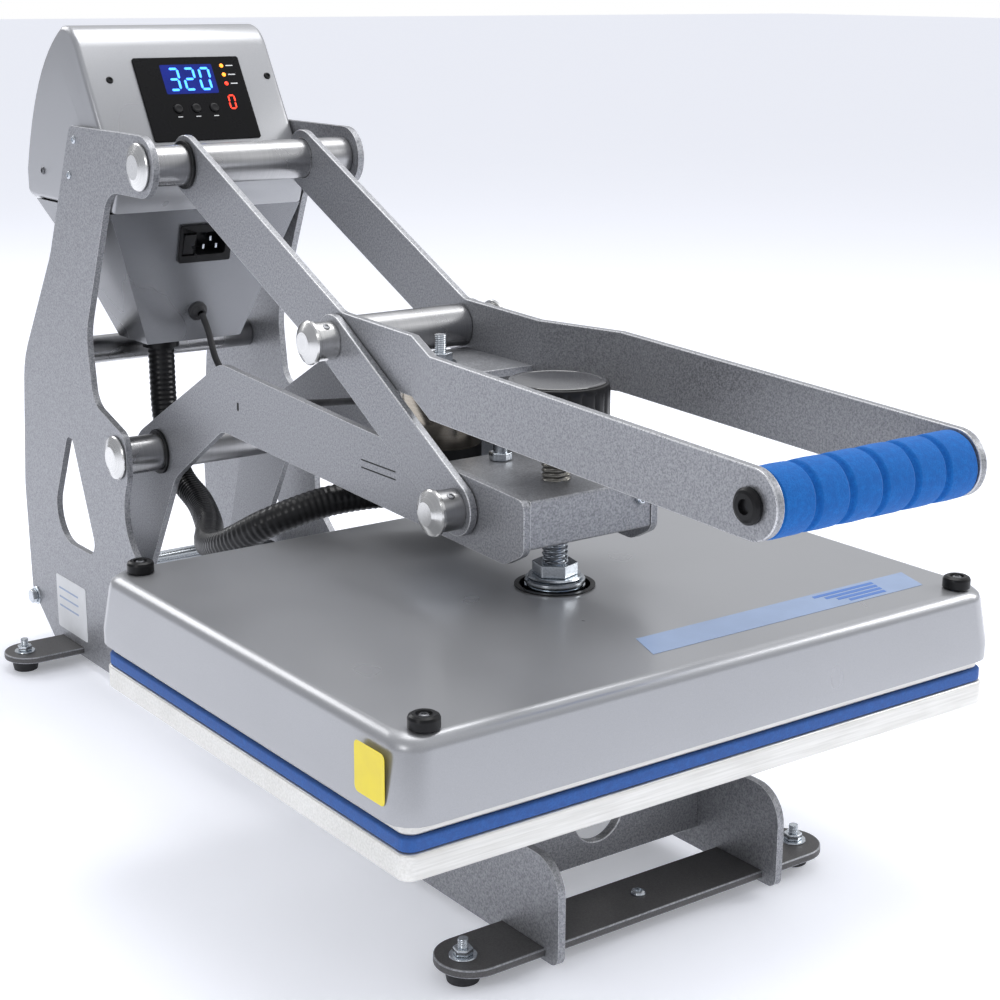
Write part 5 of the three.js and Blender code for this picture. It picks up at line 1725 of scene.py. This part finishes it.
@dataclass
class ControlHead:
    """Sheet-metal head with the display, the buttons, the switch and the inlet."""

    face_rise: Pair = (72.0, 122.0)
    panel_thickness: float = 2.0
    chassis_slope: float = 36.0 / 125.7
    digit_half: Pair = (4.6, 5.2)
    digit_lean: float = 0.12
    digits_start: float = -17.5
    digits_pitch: float = 15.5
    digits_rise: float = 60.0
    lamps: Sequence[tuple[float, Finish]] = ((72.5, AMBER_GLOW), (63.5, AMBER_GLOW),
                                             (54.5, RED_GLOW))
    button_rise: float = 31.0
    inlet_height: float = 0.412
    inlet_pins: Sequence[Pair] = ((0, -5.0), (6.5, 2.5), (13.0, -5.0))
    shell_screws: Sequence[Pair] = ((0.040, 0.135), (0.105, 0.135))

    def build(self) -> None:
        """Makes every piece of the control head."""
        dress(self.make_housing(), SATIN, "base", "head_shell")
        # The lower housing's darker satin is painted shade.
        stand_in("head_chassis", "lower_housing", 1.8, SATIN_PAINTED_SHADE, "base", 4)
        stand_in("display_panel", "display_film", 0.4, FILM, "base")
        repaint("control_board", BOARD)
        self.make_display()
        self.make_buttons()
        self.make_inlet()
        self.make_screws()

    def housing_outline(self) -> list[Pair]:
        """Side outline of the housing, anticlockwise from the front.

        Returns:
            Corners from its box's low corner, in millimetres.
        """
        low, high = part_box("head_shell")
        deep, tall = (high.y - low.y) / MM, (high.z - low.z) / MM
        curves = (
            ((6.7, 0), (-2.0, 16), (0.7, 34)),
            ((63.0, tall - 21), (75.5, tall - 0.5), (96, tall - 3.5)),
            ((96, tall - 3.5), (162, tall - 36), (deep, 26)),
            ((deep, 8), (deep - 1, 1), (deep - 12, 0)),
        )
        points: list[Pair] = []
        for start, bend, end in curves:
            for step in range(13):
                t = step / 12
                a, b, c = (1 - t) ** 2, 2 * t * (1 - t), t * t
                x, y = (a * start[i] + b * bend[i] + c * end[i] for i in (0, 1))
                point = (x, y)
                if not points or math.dist(points[-1], point) > 0.4:
                    points.append(point)
        return points

    def make_housing(self) -> bpy.types.Object:
        """Makes the folded housing, with its side edges rolled over.

        Returns:
            The new object.
        """
        low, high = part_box("head_shell")
        middle = (low.x + high.x) / 2
        half, roll, steps = (high.x - low.x) / 2 / MM, 5.0, 6
        outline = self.housing_outline()
        count = len(outline)
        inward: list[Vector] = []
        for i, point in enumerate(outline):
            before, after = Vector(outline[i - 1]), Vector(outline[(i + 1) % count])
            a = (Vector(point) - before).normalized()
            b = (after - Vector(point)).normalized()
            normal = Vector((a.y + b.y, -(a.x + b.x))).normalized()
            inward.append(normal / max(0.5, normal.dot(Vector((b.y, -b.x)))))
        levels = [(-half + roll * (1 - math.sin(t)), roll * (1 - math.cos(t)))
                  for t in (math.pi / 2 * (1 - i / steps) for i in range(steps + 1))]
        levels += [(-x, inset) for x, inset in reversed(levels)]
        points: list[Vector] = []
        for x, inset in levels:
            for point, normal in zip(outline, inward):
                y, z = Vector(point) + normal * inset
                points.append(Vector((middle + x * MM, low.y + y * MM, low.z + z * MM)))
        faces: list[tuple[int, ...]] = [tuple(range(count))]
        for ring in range(len(levels) - 1):
            for i in range(count):
                j = (i + 1) % count
                faces.append((ring * count + i, (ring + 1) * count + i, (ring + 1) * count + j,
                              ring * count + j))
        faces.append(tuple(reversed(range((len(levels) - 1) * count, len(levels) * count))))
        return new_object("head_housing", points, faces)

    def face(self, x: float, along: float, proud: float) -> Matrix:
        """Frame on the display's outer face.

        Args:
            x: Millimetres to the right of the panel's middle.
            along: Millimetres up the face from the panel's lower edge.
            proud: Millimetres out of the panel.

        Returns:
            The matrix, its local Z axis pointing out of the face.
        """
        up = Vector((0, *self.face_rise)).normalized()
        out = RIGHT.cross(up)
        low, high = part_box("display_panel")
        origin = Vector(((low.x + high.x) / 2, low.y, low.z + self.panel_thickness * MM * out.z))
        origin += Vector((x * MM, 0, 0)) + up * along * MM + out * proud * MM
        return basis(origin, RIGHT, up)

    def chassis_face(self, x: float, z: float, proud: float) -> Matrix:
        """Frame on the lower housing's front face.

        Args:
            x: Millimetres to the right of its middle.
            z: Height over the floor, in metres.
            proud: Millimetres out of the face.

        Returns:
            The matrix, its local Z axis pointing out of the face.
        """
        low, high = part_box("head_chassis")
        y = low.y + (high.z - z) * self.chassis_slope
        up = Vector((0, -self.chassis_slope, 1)).normalized()
        out = RIGHT.cross(up)
        return basis(Vector((x * MM, y, z)) + out * proud * MM, RIGHT, up)

    def make_digit(self, name: str, digit: str, x: float, along: float, scale: float,
                   finish: Finish) -> None:
        """Makes one glowing seven-bar digit.

        Args:
            name: Start of the bars' names.
            digit: Digit to show.
            x: Middle of the digit, in millimetres.
            along: Its middle up the face, in millimetres.
            scale: Size beside the main digits.
            finish: Glowing finish.
        """
        half_a, half_b = (value * scale for value in self.digit_half)
        thick = 1.15 * scale
        for bar in DIGITS[digit]:
            a, b, upright = bar.value
            length = (half_b if upright else half_a) - 0.6 * scale
            outline = [(-length, 0), (thick - length, thick), (length - thick, thick), (length, 0),
                       (length - thick, -thick), (thick - length, -thick)]
            place = self.face(x + a * half_a + self.digit_lean * b * half_b * scale,
                              along + b * half_b, 0.02)
            if upright:
                place = place @ Matrix.Rotation(math.pi / 2, 4, "Z")
            piece = prism(f"{name}_{bar.name.lower()}", outline, 0.12, place, 0.02)
            dress(piece, finish, "base")

    def make_display(self) -> None:
        """Makes the digits, the lamps and their plain marks."""
        # The window's faint glow is painted light from the digits.
        window = prism("digit_window", rounded(26, 14.5, 1.5, 3), 0.05, self.face(-2.5, 60, 0.0),
                       0.01)
        dress(window, BLUE_HALO, "base")
        for index, digit in enumerate("320"):
            x = self.digits_start + self.digits_pitch * index
            self.make_digit(f"digit_{index}", digit, x, self.digits_rise, 1.0, BLUE_GLOW)
        self.make_digit("counter", "0", 34.0, 36.0, 0.62, RED_GLOW)
        crown = [(0, 0), (1.9, 0), (1.9, 0.25), (1.2, 0.6), (0, 0.7)]
        for index, (along, finish) in enumerate(self.lamps):
            lamp = turn(f"lamp_{index}", crown, Vector(), Axis.Z, 24)
            lamp.matrix_world = self.face(33.5, along, 0.02)
            dress(lamp, finish, "base")
            place = self.face(41.5, along, 0.02)
            mark = prism(f"lamp_mark_{index}", rounded(3.6, 0.5, 0.4, 2), 0.08, place, 0.02)
            dress(mark, PRINT_WHITE, "base")

    def make_buttons(self) -> None:
        """Makes the three round push buttons and the plain marks under them."""
        profile = [(0, -7.0), (4.2, -7.0), (4.4, -6.6), (4.4, 0.6), (3.9, 1.3), (2.9, 1.5),
                   (0, 1.15)]
        along = self.button_rise
        for index, title in enumerate(("left", "middle", "right")):
            node = f"display_button_{title}"
            x = (centre(node).x - centre("display_panel").x) / MM
            button = turn(f"push_button_{title}", profile, Vector(), Axis.Z, 40)
            button.matrix_world = self.face(x, along, 0.0)
            dress(button, PLASTIC, f"button_{title}", node)
            place = self.face(x, along - 8, 0.02)
            mark = prism(f"button_mark_{index}", rounded(2.4, 0.4, 0.3, 2), 0.08, place, 0.02)
            dress(mark, PRINT_WHITE, "base")

    def make_inlet(self) -> None:
        """Makes the inlet, its pins, the rocker and the grommet."""
        stand_in("power_inlet", "inlet_body", 0.5, PLASTIC, "base")
        stand_in("power_switch", "rocker", 0.5, PLASTIC, "rocker")
        for index, (x, up) in enumerate(self.inlet_pins):
            place = self.chassis_face(x, self.inlet_height, -14.5)
            place = place @ Matrix.Translation(Vector((0, up * MM, 0)))
            dress(prism(f"inlet_pin_{index}", rounded(1.1, 2.4, 0.5, 2), 13, place, 0.3), ZINC,
                  "base")
        node = "cable_grommet"
        at = centre(node)
        profile = [(3.2, 0.3), (9.0, 0.3), (9.0, 1.6), (8.2, 2.6), (6.4, 3.2), (5.6, 4.4),
                   (4.6, 7.0), (3.2, 7.0)]
        grommet = turn("grommet_turned", profile, Vector(), Axis.Z, 48, closed=True)
        grommet.matrix_world = self.chassis_face(0, at.z + 0.0008, 0.0)
        dress(grommet, RUBBER, "base", node)

    def make_screws(self) -> None:
        """Makes the screws of the head's front and sides."""
        for side, sign in SIDES:
            screw = screw_head(f"face_screw_{side}", 3.4, 1.6, Vector())
            screw.matrix_world = self.face(sign * 79, 62.0, -self.panel_thickness - 0.3)
            dress(screw, PLASTIC, "base")
            x, high = side_x("head_shell", sign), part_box("head_shell")[1]
            for index, (back, down) in enumerate(self.shell_screws):
                at = Vector((x, high.y - back, high.z - down))
                screw = screw_head(f"shell_screw_{side}_{index}", 3.4, 1.6, at, outward(sign))
                dress(screw, SPRING, "base")


def main() -> None:
    """Builds the studio and every sub-assembly in order."""
    logging.basicConfig(level=logging.INFO, format="%(name)s: %(message)s")
    build_grain_groups()
    assemblies = (Studio(), Cords(), BaseFrame(), LowerPlaten(), LiftSprings(), PressArm(),
                  HeatHead(),
                  PressureScrew(), Handle(), ToggleLinks(), ControlHead())
    for assembly in assemblies:
        before = set(bpy.data.objects)
        assembly.build()
        for piece in sorted(obj.name for obj in set(bpy.data.objects) - before):
            LOG.info("%s: %s", type(assembly).__name__, piece)


if __name__ == "__main__":
    main()
